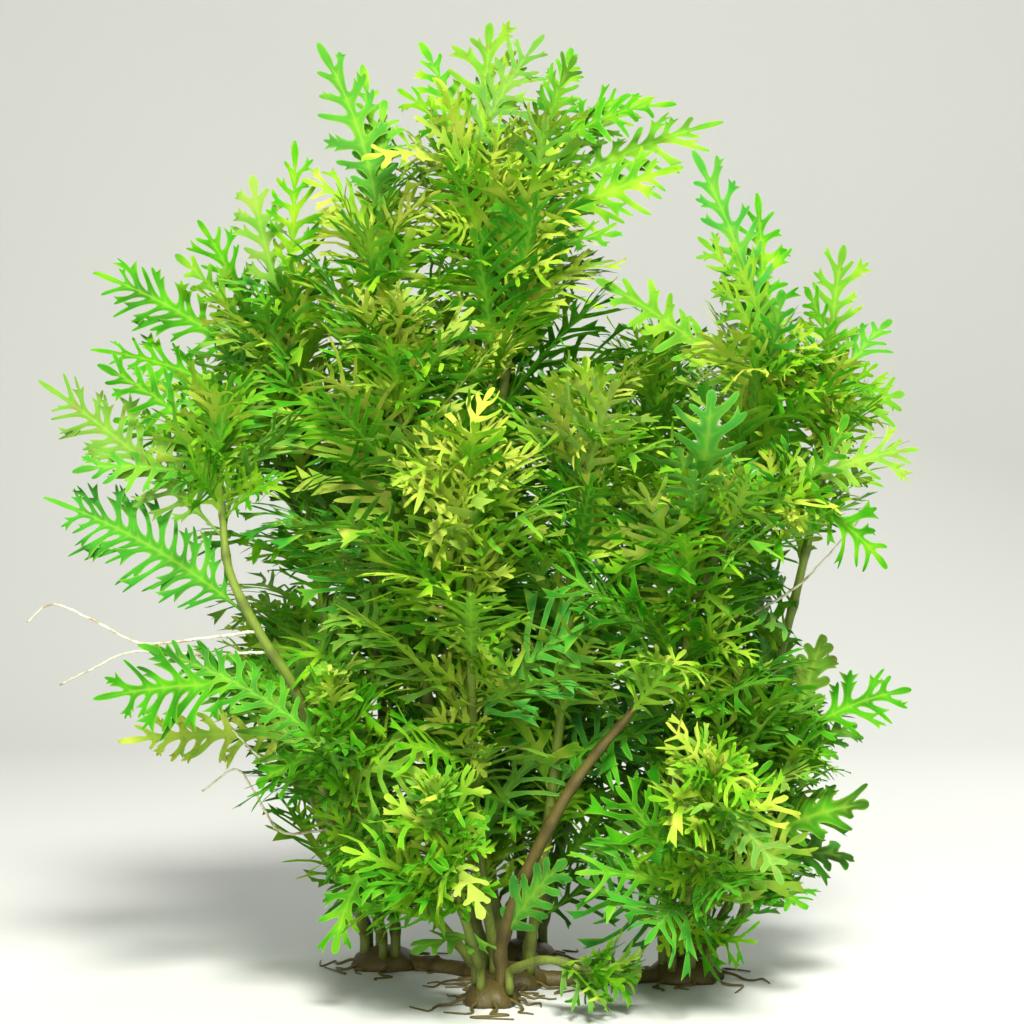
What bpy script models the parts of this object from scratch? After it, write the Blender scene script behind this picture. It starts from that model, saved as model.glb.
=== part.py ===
"""Water wisteria, Hygrophila difformis: an upright clump of leafy stems on its creeping base.

Metres, +Z up. The ground is z = 0, the clump is cut off flat there, and the origin is under the
middle crown of the creeping base. The plan below is in millimetres. The photograph looks along +Y
from EYE, so stems and large leaves are placed where it shows them on the plane y = 0, as x and z,
and seen() slides them along the line of sight to their own depth.
"""

import math
import random
from dataclasses import dataclass

import bmesh
import bpy
from mathutils import Quaternion, Vector
from mathutils.bvhtree import BVHTree

MM = 0.001
EYE = Vector((0.0, -900.0, 189.0))
UP = Vector((0.0, 0.0, 1.0))

GAP = 0.3
NUDGES = (0, 5, -5, 10, -10, 16, -16, 24, -24, 32, -32)
TURNS = (0, 10, -10, 20, -20)
SHORTENED = (1.0, 0.85, 0.7, 0.55)
MOST_TRIANGLES = 9940
JOINT_TRIANGLES = 22
BASE_TRIANGLES = 250

STEM_STEP = 46.0
STEM_TIP_RADIUS = 0.9
STEM_BEVEL = 0
PATH_STEP = 6.0
RUNNER_BEVEL = 1
MOST_FUSED_LOBES = 3
BLADE_HALF_THICK = 0.45
BLADE_GUTTER = 0.22
BLADE_DROOP = 0.30
NOTCH_REACH = 0.19
PETIOLE_RADIUS = 0.8
PETIOLE_SHARE = 0.14
LAST_LOBE = 0.84
LEAF_CLEARANCE = 0.6

CROWN_TOP = 8.0
FOOT_HEIGHT = 5.0
CROWN_BELOW = 2.0
CROWN_SIDES = 8
CROWN_SHRINK = 0.8
CROWNS = {
    "middle": (0.0, 0.0, 14.0),
    "left": (-52.0, 36.0, 13.5),
    "right": (70.0, 12.0, 15.0),
    "front": (-8.0, -34.0, 11.0),
    "back": (6.0, 52.0, 12.0),
}
RUNNER_RADIUS = 4.2
RUNNER_HEIGHT = 2.4
RUNNER_STEP = 24.0
RUNNER_BEND = 0.08
GROUND_WIDTH = 0.3
GROUND_DEPTH = 0.05
ROOT_RADIUS = 0.55
ROOT_STEP = 11.0

# For each pair of leaves from the stem's tip down: the distance from the tip, the leaves' length,
# their angle from the stem in degrees, and how many pairs of lobes they have.
LEAF_PAIRS = (
    (3.0, 13.0, 12.0, 1),
    (8.0, 22.0, 22.0, 2),
    (15.0, 33.0, 31.0, 2),
    (24.0, 44.0, 39.0, 3),
    (36.0, 54.0, 46.0, 3),
    (52.0, 62.0, 51.0, 4),
    (72.0, 67.0, 55.0, 4),
    (95.0, 70.0, 59.0, 4),
    (120.0, 68.0, 62.0, 4),
    (147.0, 64.0, 65.0, 4),
    (176.0, 58.0, 68.0, 3),
    (206.0, 54.0, 70.0, 3),
    (238.0, 50.0, 72.0, 3),
    (272.0, 46.0, 74.0, 3),
)
FIRST_FUSED_PAIR = 2
BARE_FOOT = 26.0
BLADE_MIDDLE = 0.75
OUTWARD_FIRST = 0.18
# Where the photograph shows a stem bare: from and to a distance from its tip.
BARE_STRETCHES = {"stem_brown": (22.0, 108.0), "stem_left": (42.0, 118.0)}
BARE_STEP = 5.0
BARE_VIEW = 3.0
BARE_VIEW_PER_WIDTH = 0.5
LEAF_SHARES = (0.3, 0.45, 0.6, 0.75, 0.9, 1.0)
LEAF_WIDTH = 0.36
LEAF_BOW = 0.1
FUSED_FOOT = 0.42

# Each stem: its crown or the stem that it branches from, where it starts there (an offset on the
# crown, or the share of the other stem), the places that it passes (x, z, depth), its radius, its
# vigour, which scales its leaves, and the turn of its first pair of leaves in degrees.
STEMS = {
    "stem_top": ("middle", (-4, 4), ((-9, 54, 4), (-10, 154, 5), (-8, 234, 6), (-9, 290, 8),
                                     (-17, 328, 10)), 2.4, 1.0, 20),
    "stem_centre": ("middle", (-7, -7), ((-14, 60, -22), (-16, 120, -44), (-17, 170, -57),
                                         (-17, 208, -62)), 2.2, 1.0, 60),
    "stem_centre_upper": ("middle", (-11, 2), ((-27, 70, -4), (-38, 150, -18), (-44, 215, -28),
                                               (-45, 262, -32)), 2.2, 1.0, 100),
    "stem_centre_right": ("middle", (7, -6), ((15, 70, -14), (23, 140, -22), (28, 195, -23),
                                              (31, 236, -20)), 2.2, 1.0, 45),
    "stem_back_middle": ("middle", (6, 8), ((20, 60, 40), (20, 110, 88), (12, 152, 104)),
                         2.0, 0.9, 10),
    "stem_top_left": ("left", (4, -8), ((-50, 80, 18), (-55, 170, 4), (-55, 250, -6),
                                        (-53, 308, -10)), 2.2, 0.95, 75),
    "stem_upper_left": ("left", (-3, 4), ((-66, 90, 36), (-78, 170, 28), (-86, 230, 20),
                                          (-92, 278, 15)), 2.2, 0.95, 35),
    "stem_left": ("left", (-9, -2), ((-74, 74, 2), (-85, 114, -22), (-100, 139, -32),
                                     (-113, 165, -37), (-116, 192, -39), (-119, 226, -40)),
                  2.3, 1.05, 0),
    "stem_left_low": ("left", (-1, -10), ((-60, 50, -14), (-70, 92, -42), (-72, 118, -52)),
                      2.0, 0.85, 50),
    "stem_left_back": ("left", (-8, 8), ((-78, 70, 66), (-90, 110, 78), (-92, 142, 80)),
                       2.0, 0.95, 80),
    "stem_left_front": ("front", (-6, 2), ((-30, 26, -38), (-46, 44, -42), (-52, 60, -44)),
                        1.9, 0.8, 15),
    "stem_front_low": ("front", (-4, -5), ((-20, 30, -62), (-27, 56, -78), (-30, 76, -84)),
                       1.9, 0.75, 65),
    "stem_brown": ("front", (4, 0), ((-5, 12, -34), (2, 36, -42), (18, 69, -52), (31, 89, -56),
                                     (47, 108, -60), (58, 124, -62)), 2.6, 0.8, 30),
    "stem_creeping": ("front", (7, -6), ((14, 10, -52), (30, 6, -58), (46, 5, -54)),
                      1.8, 0.6, 45),
    "stem_right": ("right", (-2, 2), ((75, 74, 8), (83, 154, 5), (95, 214, 2), (103, 256, 0)),
                   2.4, 1.0, 25),
    "stem_right_outer": ("right", (6, 8), ((92, 80, 20), (112, 150, 16), (124, 205, 12),
                                           (129, 244, 10)), 2.2, 0.8, 70),
    "stem_right_mid": ("right", (-9, -3), ((64, 70, -12), (70, 140, -32), (75, 200, -42)),
                       2.2, 1.0, 0),
    "stem_right_inner": ("right", (2, -9), ((82, 50, -12), (89, 90, -16), (92, 120, -16)),
                         2.0, 0.85, 55),
    "stem_right_front": ("right", (-6, -11), ((70, 36, -42), (78, 64, -68), (80, 86, -78)),
                         2.0, 0.8, 20),
    "stem_far_right_low": ("right", (9, 1), ((96, 50, 4), (110, 85, 2), (115, 108, 0)),
                           2.0, 0.8, 85),
    "stem_low_right": ("right", (9, -6), ((90, 24, -6), (98, 44, -14), (101, 62, -18)),
                       1.9, 0.7, 40),
    "stem_back": ("back", (-2, 4), ((0, 120, 68), (0, 220, 72), (0, 290, 72)), 2.3, 1.0, 5),
    "stem_back_left": ("back", (-9, 0), ((-28, 90, 66), (-48, 170, 76), (-60, 230, 80)),
                       2.2, 1.0, 50),
    "stem_back_right": ("back", (7, 2), ((28, 90, 74), (48, 180, 84), (60, 250, 86)),
                        2.2, 1.0, 90),
    "stem_back_far_right": ("right", (1, 11), ((84, 70, 46), (97, 125, 66), (100, 160, 72)),
                            2.0, 0.95, 30),
    "stem_top_right": ("stem_top", 0.66, ((0, 262, 14), (6, 300, 22), (13, 336, 26)),
                       1.9, 0.9, 60),
    "stem_left_upper": ("stem_upper_left", 0.6, ((-94, 215, 32), (-101, 256, 36)),
                        1.8, 0.85, 10),
    "stem_right_arm": ("stem_right_mid", 0.78, ((88, 184, -44), (104, 192, -42),
                                                (117, 200, -38)), 1.8, 0.75, 70),
}

# Each large leaf that the photograph shows at the outline: its stem, where it leaves it (x, z), its
# tip (x, z, depth), its pairs of lobes, its half width, its bow as a share of its length, and its
# tilt in degrees, which is 0 where the blade faces the viewer and 90 where it faces up.
LEAVES = {
    "leaf_top_left": ("stem_top_left", (-54, 304), (-78, 377, -18), 5, 14, 0.06, 20),
    "leaf_top_spire": ("stem_top", (-16, 326), (-9, 385, 8), 5, 16, -0.03, 10),
    "leaf_top_right": ("stem_top_right", (12, 332), (48, 356, 22), 4, 12, 0.06, 30),
    "leaf_top_right_long": ("stem_top_right", (8, 312), (85, 345, 14), 5, 13, 0.05, 35),
    "leaf_top_right_broad": ("stem_top_right", (5, 296), (69, 327, 4), 5, 18, 0.06, 25),
    "leaf_upper_left": ("stem_left_upper", (-100, 252), (-126, 306, 26), 5, 14, 0.05, 15),
    "leaf_upper_left_long": ("stem_left_upper", (-99, 244), (-168, 285, 24), 5, 17, 0.05, 25),
    "leaf_left_out": ("stem_left_upper", (-96, 226), (-169, 254, 18), 5, 14, 0.07, 35),
    "leaf_yellow_finger": ("stem_upper_left", (-91, 272), (-104, 324, 4), 4, 13, -0.04, 10),
    "leaf_left_long": ("stem_left", (-115, 178), (-190, 242, -44), 5, 17, 0.03, 15),
    "leaf_left_fern": ("stem_left", (-102, 146), (-188, 195, -56), 5, 20, 0.05, 10),
    "leaf_left_low": ("stem_left", (-87, 118), (-168, 114, -72), 5, 18, 0.04, 20),
    "leaf_left_ragged": ("stem_left", (-80, 98), (-158, 97, -14), 5, 12, 0.03, 20),
    "leaf_right_upper": ("stem_right", (102, 252), (72, 334, -6), 5, 14, 0.04, 15),
    "leaf_right_upper_short": ("stem_right", (102, 250), (98, 317, 12), 5, 15, 0.02, 20),
    "leaf_right_inner_long": ("stem_right", (98, 232), (33, 282, -12), 5, 15, 0.05, 30),
    "leaf_right_tall": ("stem_right_outer", (128, 240), (133, 296, 8), 5, 13, 0.04, 15),
    "leaf_right_out": ("stem_right_outer", (126, 224), (157, 236, -2), 4, 13, 0.08, 30),
    "leaf_right_arm": ("stem_right_arm", (116, 199), (163, 214, -44), 5, 15, 0.06, 30),
    "leaf_right_arm_low": ("stem_right_arm", (110, 196), (150, 166, -36), 5, 14, 0.08, 30),
    "leaf_bluish": ("stem_right_mid", (75, 196), (80, 238, -66), 5, 17, -0.06, 15),
    "leaf_right_low_spire": ("stem_far_right_low", (114, 104), (125, 140, 4), 3, 10, 0.03, 10),
    "leaf_right_low_long": ("stem_far_right_low", (113, 98), (160, 118, -4), 5, 15, 0.07, 30),
    "leaf_dark": ("stem_low_right", (100, 58), (143, 72, -26), 4, 14, 0.06, 45),
    "leaf_right_floor": ("stem_low_right", (93, 32), (118, 30, -52), 4, 12, 0.12, 60),
    "leaf_front_hang": ("stem_left_front", (-50, 56), (-71, 12, -58), 5, 11, 0.1, 30),
}

# The same for smaller leaves that show in the photograph. They are fused to their stems.
SMALL_LEAVES = {
    "small_top_left": ("stem_top_left", (-55, 296), (-60, 368, 4), 3, 9, 0.05, 20),
    "small_top": ("stem_top", (-17, 320), (-37, 377, 24), 3, 12, 0.05, 20),
    "small_top_right": ("stem_top_right", (12, 326), (24, 375, 40), 3, 11, 0.02, 10),
    "small_top_right_fan": ("stem_top_right", (9, 316), (56, 355, 44), 3, 10, 0.06, 35),
    "small_top_right_low": ("stem_top_right", (3, 286), (44, 300, -8), 3, 12, 0.08, 40),
    "small_left_inner": ("stem_left", (-115, 186), (-86, 203, -66), 3, 11, 0.08, 40),
    "small_left_mid": ("stem_left", (-117, 200), (-160, 226, -18), 3, 13, 0.08, 35),
    "small_right_fan": ("stem_right_outer", (129, 234), (152, 266, 22), 3, 10, 0.06, 30),
    "small_right_tip": ("stem_right", (101, 244), (108, 278, -26), 2, 9, -0.08, 20),
    "small_right_curl": ("stem_right_arm", (112, 197), (134, 228, -58), 3, 9, -0.1, 30),
    "small_right_low": ("stem_far_right_low", (108, 84), (138, 104, 22), 3, 11, 0.08, 35),
    "small_dark_low": ("stem_low_right", (98, 48), (137, 50, 2), 3, 12, 0.08, 50),
    "small_low_right": ("stem_right_front", (79, 70), (108, 40, -100), 3, 10, 0.12, 45),
    "small_left_low": ("stem_left_low", (-70, 92), (-102, 79, -30), 3, 11, 0.08, 40),
    "small_ring_right": ("stem_brown", (-3, 16), (22, 50, -62), 3, 11, 0.05, 25),
    "small_ring_left": ("stem_brown", (-4, 13), (-40, 12, -64), 3, 10, 0.12, 60),
    "small_hang": ("stem_front_low", (-25, 50), (-12, 26, -104), 3, 9, 0.12, 40),
}

# Each free root: the stem and where it leaves it (x, z), and the places it passes.
ROOTS = {
    "root_left_upper": ("stem_left", (-101, 141), ((-137, 137, -38), (-151, 137, -40),
                                                   (-168, 146, -42), (-184, 152, -40),
                                                   (-194, 145, -36))),
    "root_left_middle": ("stem_left", (-96, 134), ((-124, 132, -28), (-152, 133, -24),
                                                   (-166, 127, -20), (-181, 120, -18))),
    "root_left_lower": ("stem_left", (-78, 88), ((-88, 82, -14), (-101, 91, -18),
                                                 (-112, 102, -20))),
    "root_left_bottom": ("stem_left", (-72, 62), ((-92, 61, 0), (-103, 77, -4), (-111, 86, -6),
                                                  (-124, 77, -8))),
    "root_right": ("stem_right", (82, 142), ((101, 151, -6), (115, 160, -12), (126, 171, -16),
                                             (140, 187, -18))),
}

# The clump's outline as the viewer sees it: the height, then the least and the greatest x there.
CLUMP_EDGE = (
    (0, -45, 55), (14, -68, 105), (34, -72, 118), (54, -85, 134), (78, -102, 136),
    (98, -150, 132), (118, -160, 155), (138, -145, 124), (154, -130, 112), (170, -160, 138),
    (194, -182, 148), (214, -178, 158), (238, -182, 150), (262, -165, 148), (286, -162, 136),
    (306, -122, 98), (322, -102, 74), (338, -88, 70), (354, -88, 68), (370, -78, 32),
    (384, -8, 14),
)

LEAF_GREENS = ((0.30, 0.52, 0.05), (0.16, 0.42, 0.04), (0.07, 0.28, 0.03), (0.10, 0.34, 0.14))
STEM_GREEN = (0.20, 0.22, 0.06)
STEM_BROWN = (0.26, 0.16, 0.07)
ROOT_WHITE = (0.62, 0.60, 0.48)


@dataclass
class Leaf:
    """A leaf in space, in millimetres: its midrib is a bowed curve from base to tip."""

    name: str
    stem: str
    base: Vector
    tip: Vector
    face: Vector
    bow: Vector
    pairs: int
    half_width: float
    foot: float = PETIOLE_RADIUS


def seen(x, z, depth):
    """The point at a depth behind the plane y = 0 that the viewer sees at x, z on that plane."""
    share = depth / -EYE.y
    return Vector((x + x * share, depth, z + (z - EYE.z) * share))


def smooth_path(points, step):
    """Points a step apart or less on a smooth curve through the given points."""
    ends = [2 * points[0] - points[1]] + points + [2 * points[-1] - points[-2]]
    path = [points[0]]
    for before, start, end, after in zip(ends, ends[1:], ends[2:], ends[3:]):
        count = max(1, math.ceil((end - start).length / step))
        for k in range(1, count + 1):
            t = k / count
            path.append(0.5 * (2 * start + (end - before) * t
                               + (2 * before - 5 * start + 4 * end - after) * t ** 2
                               + (3 * start - before - 3 * end + after) * t ** 3))
    return path


def lengths_along(path):
    """The distance of each point of a path from its start."""
    total = [0.0]
    for start, end in zip(path, path[1:]):
        total.append(total[-1] + (end - start).length)
    return total


def along(path, distance):
    """The point and the direction at a distance from a path's start."""
    total = lengths_along(path)
    for k in range(1, len(path)):
        if total[k] >= distance or k == len(path) - 1:
            run = path[k] - path[k - 1]
            share = (distance - total[k - 1]) / (total[k] - total[k - 1])
            return path[k - 1] + run * share, run.normalized()


def nearest(path, place):
    """The distance along a path of its point nearest to a place as the viewer sees both."""
    length = lengths_along(path)[-1]
    tries = [length * k / 200 for k in range(201)]
    return min(tries, key=lambda d: seen_offset(along(path, d)[0], place))


def seen_place(point):
    """Where the viewer sees a point on the plane y = 0, as x and z."""
    share = -EYE.y / (point.y - EYE.y)
    return point.x * share, EYE.z + (point.z - EYE.z) * share


def seen_offset(point, place):
    """How far apart the viewer sees a point and a place (x, z) on the plane y = 0."""
    x, z = seen_place(point)
    return math.hypot(x - place[0], z - place[1])


def stem_radius(stem, share):
    """A stem's radius at a share of its length: thick for most of it and thin at the tip."""
    return STEM_TIP_RADIUS + (STEMS[stem][3] - STEM_TIP_RADIUS) * (1 - share ** 3)


def axis_point(axes, paths, stem, distance):
    """The point of a stem's straight-sided solid at a distance along its smooth path."""
    share = distance / lengths_along(paths[stem])[-1]
    return along(axes[stem], share * lengths_along(axes[stem])[-1])[0]


def stem_paths():
    """The smooth path of each stem, with a branch starting just clear of the stem it leaves."""
    paths = {}
    for name, (origin, start, places, *_) in STEMS.items():
        route = [seen(*place) for place in places]
        if origin in CROWNS:
            x, y, _ = CROWNS[origin]
            foot = Vector((x + start[0], y + start[1], CROWN_TOP + GAP))
            route = [foot, foot + UP * FOOT_HEIGHT] + route
        else:
            parent = paths[origin]
            length = lengths_along(parent)[-1]
            point, direction = along(parent, length * start)
            away = route[0] - point
            away = (away - direction * away.dot(direction)).normalized()
            clear = stem_radius(origin, start) + 2 * GAP + STEMS[name][3] * 0.6
            route = [point + away * clear + direction * clear * 0.5] + route
        paths[name] = smooth_path(route, PATH_STEP)
    return paths


def leaf_on_stem(axes, paths, stem, pair, side, turn=0.0):
    """The leaf on one side of a stem's pair of leaves, counted from the tip."""
    distance, length, angle, lobes = LEAF_PAIRS[pair]
    _, _, _, _, vigour, first_turn = STEMS[stem]
    own = random.Random(f"{stem} {pair} {side}")
    total = lengths_along(paths[stem])[-1]
    point, direction = along(paths[stem], total - distance)
    across = direction.cross(Vector((0, 1, 0))).normalized()
    spin = math.radians(first_turn + 90 * pair + 180 * side + own.uniform(-16, 16) + turn)
    outward = Quaternion(direction, spin) @ across
    opening = math.radians(angle + own.uniform(-8, 8))
    heading = direction * math.cos(opening) + outward * math.sin(opening)
    length *= vigour * own.uniform(0.86, 1.12)
    base = axis_point(axes, paths, stem, total - distance)
    foot = FUSED_FOOT * stem_radius(stem, 1 - distance / total)
    base = base + direction * foot * (0.5 - side) + heading * foot * 0.3
    return Leaf(f"{stem}_leaf_{pair}_{side}", stem, base, point + heading * length, direction,
                direction * LEAF_BOW, min(lobes, MOST_FUSED_LOBES), length * LEAF_WIDTH, foot)


def seen_leaf(axes, paths, name, fused=False, nudge=0.0):
    """A leaf whose tip is seen, from just clear of its stem or, fused, from the stem's middle."""
    table = SMALL_LEAVES if fused else LEAVES
    stem, foot, (x, z, depth), pairs, half_width, bow, tilt = table[name]
    distance = nearest(paths[stem], foot)
    direction = along(paths[stem], distance)[1]
    point = axis_point(axes, paths, stem, distance)
    tip = seen(x, z, depth + nudge)
    away = (tip - point).normalized()
    outward = (away - direction * away.dot(direction)).normalized()
    share = distance / lengths_along(paths[stem])[-1]
    clear = stem_radius(stem, share) + LEAF_CLEARANCE
    clear += PETIOLE_RADIUS * abs(away.dot(direction))
    base = point + outward * clear + away * PETIOLE_RADIUS
    foot_radius = PETIOLE_RADIUS
    if fused:
        foot_radius = FUSED_FOOT * stem_radius(stem, share)
        base = point + away * foot_radius * 0.3
    angle = math.radians(tilt)
    face = Vector((0, -math.cos(angle), math.sin(angle)))
    return Leaf(name, stem, base, tip, face, UP * bow, pairs, half_width, foot_radius)


def place_on(leaf, a, b, lift=0.0):
    """The point at share a along a leaf's midrib, b to its side, and lift above the blade."""
    run = leaf.tip - leaf.base
    up = leaf.bow - run * leaf.bow.dot(run) / run.length_squared
    bend = up.normalized() * leaf.bow.length * run.length if up.length > 1e-6 else up
    held = min(a, 1.0)
    point = leaf.base + run * a + bend * 4 * held * (1 - held)
    tangent = (run + bend * 4 * (1 - 2 * held)).normalized()
    side = tangent.cross(leaf.face).normalized()
    normal = side.cross(tangent)
    rise = BLADE_GUTTER * abs(b) - BLADE_DROOP * b * b / leaf.half_width
    return point + side * b + normal * (rise + lift)


def lobe_length(share):
    """The length of a lobe as a share of the longest, at a share of the way up the blade."""
    return math.sin(math.pi * (0.2 + 0.7 * share)) ** 0.8


def lobe_slope(share):
    """How far forward a lobe leans for each unit to the side, more so towards the leaf's tip."""
    return math.tan(math.radians(24 + 20 * share))


def blade_mesh(leaf):
    """A leaf as one closed solid: thick at the midrib, thin at the edge of its pointed lobes."""
    bm = bmesh.new()
    length = (leaf.tip - leaf.base).length
    step = (LAST_LOBE - PETIOLE_SHARE) / leaf.pairs
    tops, unders, notches, lobes = [], [], [], []
    for k in range(leaf.pairs + 1):
        share = k / leaf.pairs
        a = PETIOLE_SHARE + step * k
        thick = BLADE_HALF_THICK * (1 - 0.4 * share)
        reach = NOTCH_REACH * leaf.half_width * lobe_length(share)
        forward = reach / length * lobe_slope(share)
        tops.append(bm.verts.new(place_on(leaf, a, 0, thick)))
        unders.append(bm.verts.new(place_on(leaf, a, 0, -thick)))
        notches.append([bm.verts.new(place_on(leaf, a + forward, s * reach)) for s in (-1, 1)])
    for k in range(leaf.pairs):
        share = (k + 0.5) / leaf.pairs
        reach = leaf.half_width * lobe_length(share)
        a = PETIOLE_SHARE + step * (k + 0.5) + reach / length * lobe_slope(share)
        lobes.append([bm.verts.new(place_on(leaf, a, s * reach)) for s in (-1, 1)])
    tip = bm.verts.new(place_on(leaf, 1.0, 0))
    foot = [bm.verts.new(place_on(leaf, 0, b, h)) for b, h in
            ((0, leaf.foot), (-leaf.foot, 0), (0, -leaf.foot), (leaf.foot, 0))]
    neck = [tops[0], notches[0][0], unders[0], notches[0][1]]
    bm.faces.new(foot)
    for k in range(4):
        bm.faces.new((foot[k], foot[(k + 1) % 4], neck[(k + 1) % 4], neck[k]))
    for middle in (tops, unders):
        for s in (0, 1):
            for k in range(leaf.pairs):
                bm.faces.new((middle[k], notches[k][s], lobes[k][s]))
                bm.faces.new((middle[k], lobes[k][s], middle[k + 1]))
                bm.faces.new((middle[k + 1], lobes[k][s], notches[k + 1][s]))
            bm.faces.new((middle[-1], notches[-1][s], tip))
    bmesh.ops.recalc_face_normals(bm, faces=bm.faces)
    if bm.calc_volume(signed=True) < 0:
        bmesh.ops.reverse_faces(bm, faces=bm.faces)
    bmesh.ops.triangulate(bm, faces=bm.faces)
    bmesh.ops.scale(bm, vec=Vector((MM, MM, MM)), verts=bm.verts)
    mesh = bpy.data.meshes.new(leaf.name)
    bm.to_mesh(mesh)
    bm.free()
    return mesh


def evaluated_mesh(obj):
    """The mesh that an object's curve or modifiers make."""
    return bpy.data.meshes.new_from_object(obj.evaluated_get(bpy.context.evaluated_depsgraph_get()))


def tube_mesh(name, points, radii, bevel=STEM_BEVEL):
    """A round closed tube through points, with its own radius at each."""
    curve = bpy.data.curves.new(name, "CURVE")
    curve.dimensions = "3D"
    curve.bevel_depth = MM
    curve.bevel_resolution = bevel
    curve.use_fill_caps = True
    spline = curve.splines.new("POLY")
    spline.points.add(len(points) - 1)
    for spot, point, radius in zip(spline.points, points, radii):
        spot.co = (*(point * MM), 1.0)
        spot.radius = radius
    holder = bpy.data.objects.new(name, curve)
    bpy.context.scene.collection.objects.link(holder)
    mesh = evaluated_mesh(holder)
    bpy.data.objects.remove(holder)
    bm = bmesh.new()
    bm.from_mesh(mesh)
    bmesh.ops.remove_doubles(bm, verts=bm.verts, dist=1e-6)
    bmesh.ops.recalc_face_normals(bm, faces=bm.faces)
    bmesh.ops.triangulate(bm, faces=bm.faces)
    bm.to_mesh(mesh)
    bm.free()
    mesh.name = name
    return mesh


def finish(name, colour, roughness):
    """A plant surface of one colour."""
    surface = bpy.data.materials.new(name)
    surface.use_nodes = True
    shader = surface.node_tree.nodes["Principled BSDF"]
    shader.inputs["Base Color"].default_value = (*colour, 1)
    shader.inputs["Roughness"].default_value = roughness
    shader.inputs["Metallic"].default_value = 0.0
    return surface


def add_piece(name, mesh, colour, roughness, collection):
    """One named piece with its own material."""
    mesh.materials.clear()
    mesh.materials.append(finish(name, colour, roughness))
    piece = bpy.data.objects.new(name, mesh)
    collection.objects.link(piece)
    return piece


def add_cutter(mesh, collection):
    """A solid that is joined to or cut from another, and isn't a piece itself."""
    cutter = bpy.data.objects.new(mesh.name, mesh)
    cutter.hide_render = True
    cutter.display_type = "WIRE"
    collection.objects.link(cutter)


def join_all(piece, cutters, operation="UNION"):
    """Join a collection of cutters to a piece, or cut them from it."""
    joint = piece.modifiers.new(operation.lower(), "BOOLEAN")
    joint.operation = operation
    joint.operand_type = "COLLECTION"
    joint.collection = cutters
    joint.solver = "EXACT"


def shape_of(mesh):
    """A mesh as a tree for finding what crosses it."""
    points = [v.co for v in mesh.vertices]
    return BVHTree.FromPolygons(points, [p.vertices for p in mesh.polygons])


def crosses(tree, others):
    """Whether a tree meets any of the others."""
    return any(tree.overlap(other) for other in others)


def crown_mesh(name, x, y, radius):
    """A low round lump with a flat top, reaching a little below the ground."""
    bm = bmesh.new()
    height = CROWN_TOP + CROWN_BELOW
    bmesh.ops.create_cone(bm, cap_ends=True, segments=CROWN_SIDES, radius1=radius,
                          radius2=radius * CROWN_SHRINK, depth=height)
    bmesh.ops.translate(bm, verts=bm.verts, vec=Vector((x, y, height / 2 - CROWN_BELOW)))
    bmesh.ops.scale(bm, vec=Vector((MM, MM, MM)), verts=bm.verts)
    mesh = bpy.data.meshes.new(name)
    bm.to_mesh(mesh)
    bm.free()
    return mesh


def build_base(pieces, cutters):
    """The creeping base: a crown for each clump and the runners that join them, cut flat below."""
    x, y, radius = CROWNS["middle"]
    base = add_piece("creeping_base", crown_mesh("creeping_base", x, y, radius), STEM_BROWN, 0.8,
                     pieces)
    joined = bpy.data.collections.new("base_parts")
    ground = bpy.data.collections.new("ground")
    cutters.children.link(joined)
    cutters.children.link(ground)
    for name, (cx, cy, crown_radius) in CROWNS.items():
        if name == "middle":
            continue
        add_cutter(crown_mesh(f"crown_{name}", cx, cy, crown_radius), joined)
        start = Vector((0, 0, RUNNER_HEIGHT))
        end = Vector((cx, cy, RUNNER_HEIGHT))
        bend = end.cross(UP).normalized() * end.length * RUNNER_BEND
        route = smooth_path([start, end / 2 + bend, end], RUNNER_STEP)
        radii = [RUNNER_RADIUS] * len(route)
        add_cutter(tube_mesh(f"runner_{name}", route, radii, RUNNER_BEVEL), joined)
    bm = bmesh.new()
    bmesh.ops.create_cube(bm, size=1.0)
    bmesh.ops.scale(bm, vec=Vector((GROUND_WIDTH, GROUND_WIDTH, GROUND_DEPTH)), verts=bm.verts)
    bmesh.ops.translate(bm, verts=bm.verts, vec=Vector((0, 0, -GROUND_DEPTH / 2)))
    below = bpy.data.meshes.new("below_ground")
    bm.to_mesh(below)
    bm.free()
    add_cutter(below, ground)
    join_all(base, joined)
    join_all(base, ground, "DIFFERENCE")
    bpy.context.view_layer.update()
    return shape_of(evaluated_mesh(base))


def coarse(path, step, first=0.0):
    """A path's points about a step apart, with both of its ends and the end of its first stretch."""
    length = lengths_along(path)[-1]
    count = max(2, round((length - first) / step))
    points = [along(path, first + (length - first) * k / count)[0] for k in range(count + 1)]
    return [path[0]] + points if first else points


def build_stem(name, points, pieces):
    """A stem, tapered to its tip."""
    radii = [stem_radius(name, k / (len(points) - 1)) for k in range(len(points))]
    colour = STEM_BROWN if name == "stem_brown" else STEM_GREEN
    return add_piece(name, tube_mesh(name, points, radii), colour, 0.6, pieces)


def lowest(mesh):
    """The lowest height in a mesh, in millimetres."""
    return min(v.co.z for v in mesh.vertices) / MM


def build_leaves(axes, paths, solids, pieces):
    """The large leaves, each moved in depth until it meets nothing."""
    for index, name in enumerate(LEAVES):
        for nudge in NUDGES:
            leaf = seen_leaf(axes, paths, name, nudge=nudge)
            mesh = blade_mesh(leaf)
            tree = shape_of(mesh)
            if lowest(mesh) > GAP and not crosses(tree, [t for _, t in solids]):
                break
        else:
            raise ValueError(f"{name} has no free place")
        solids.append((leaf.stem, tree))
        add_piece(name, mesh, LEAF_GREENS[index % len(LEAF_GREENS)], 0.45, pieces)


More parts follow.
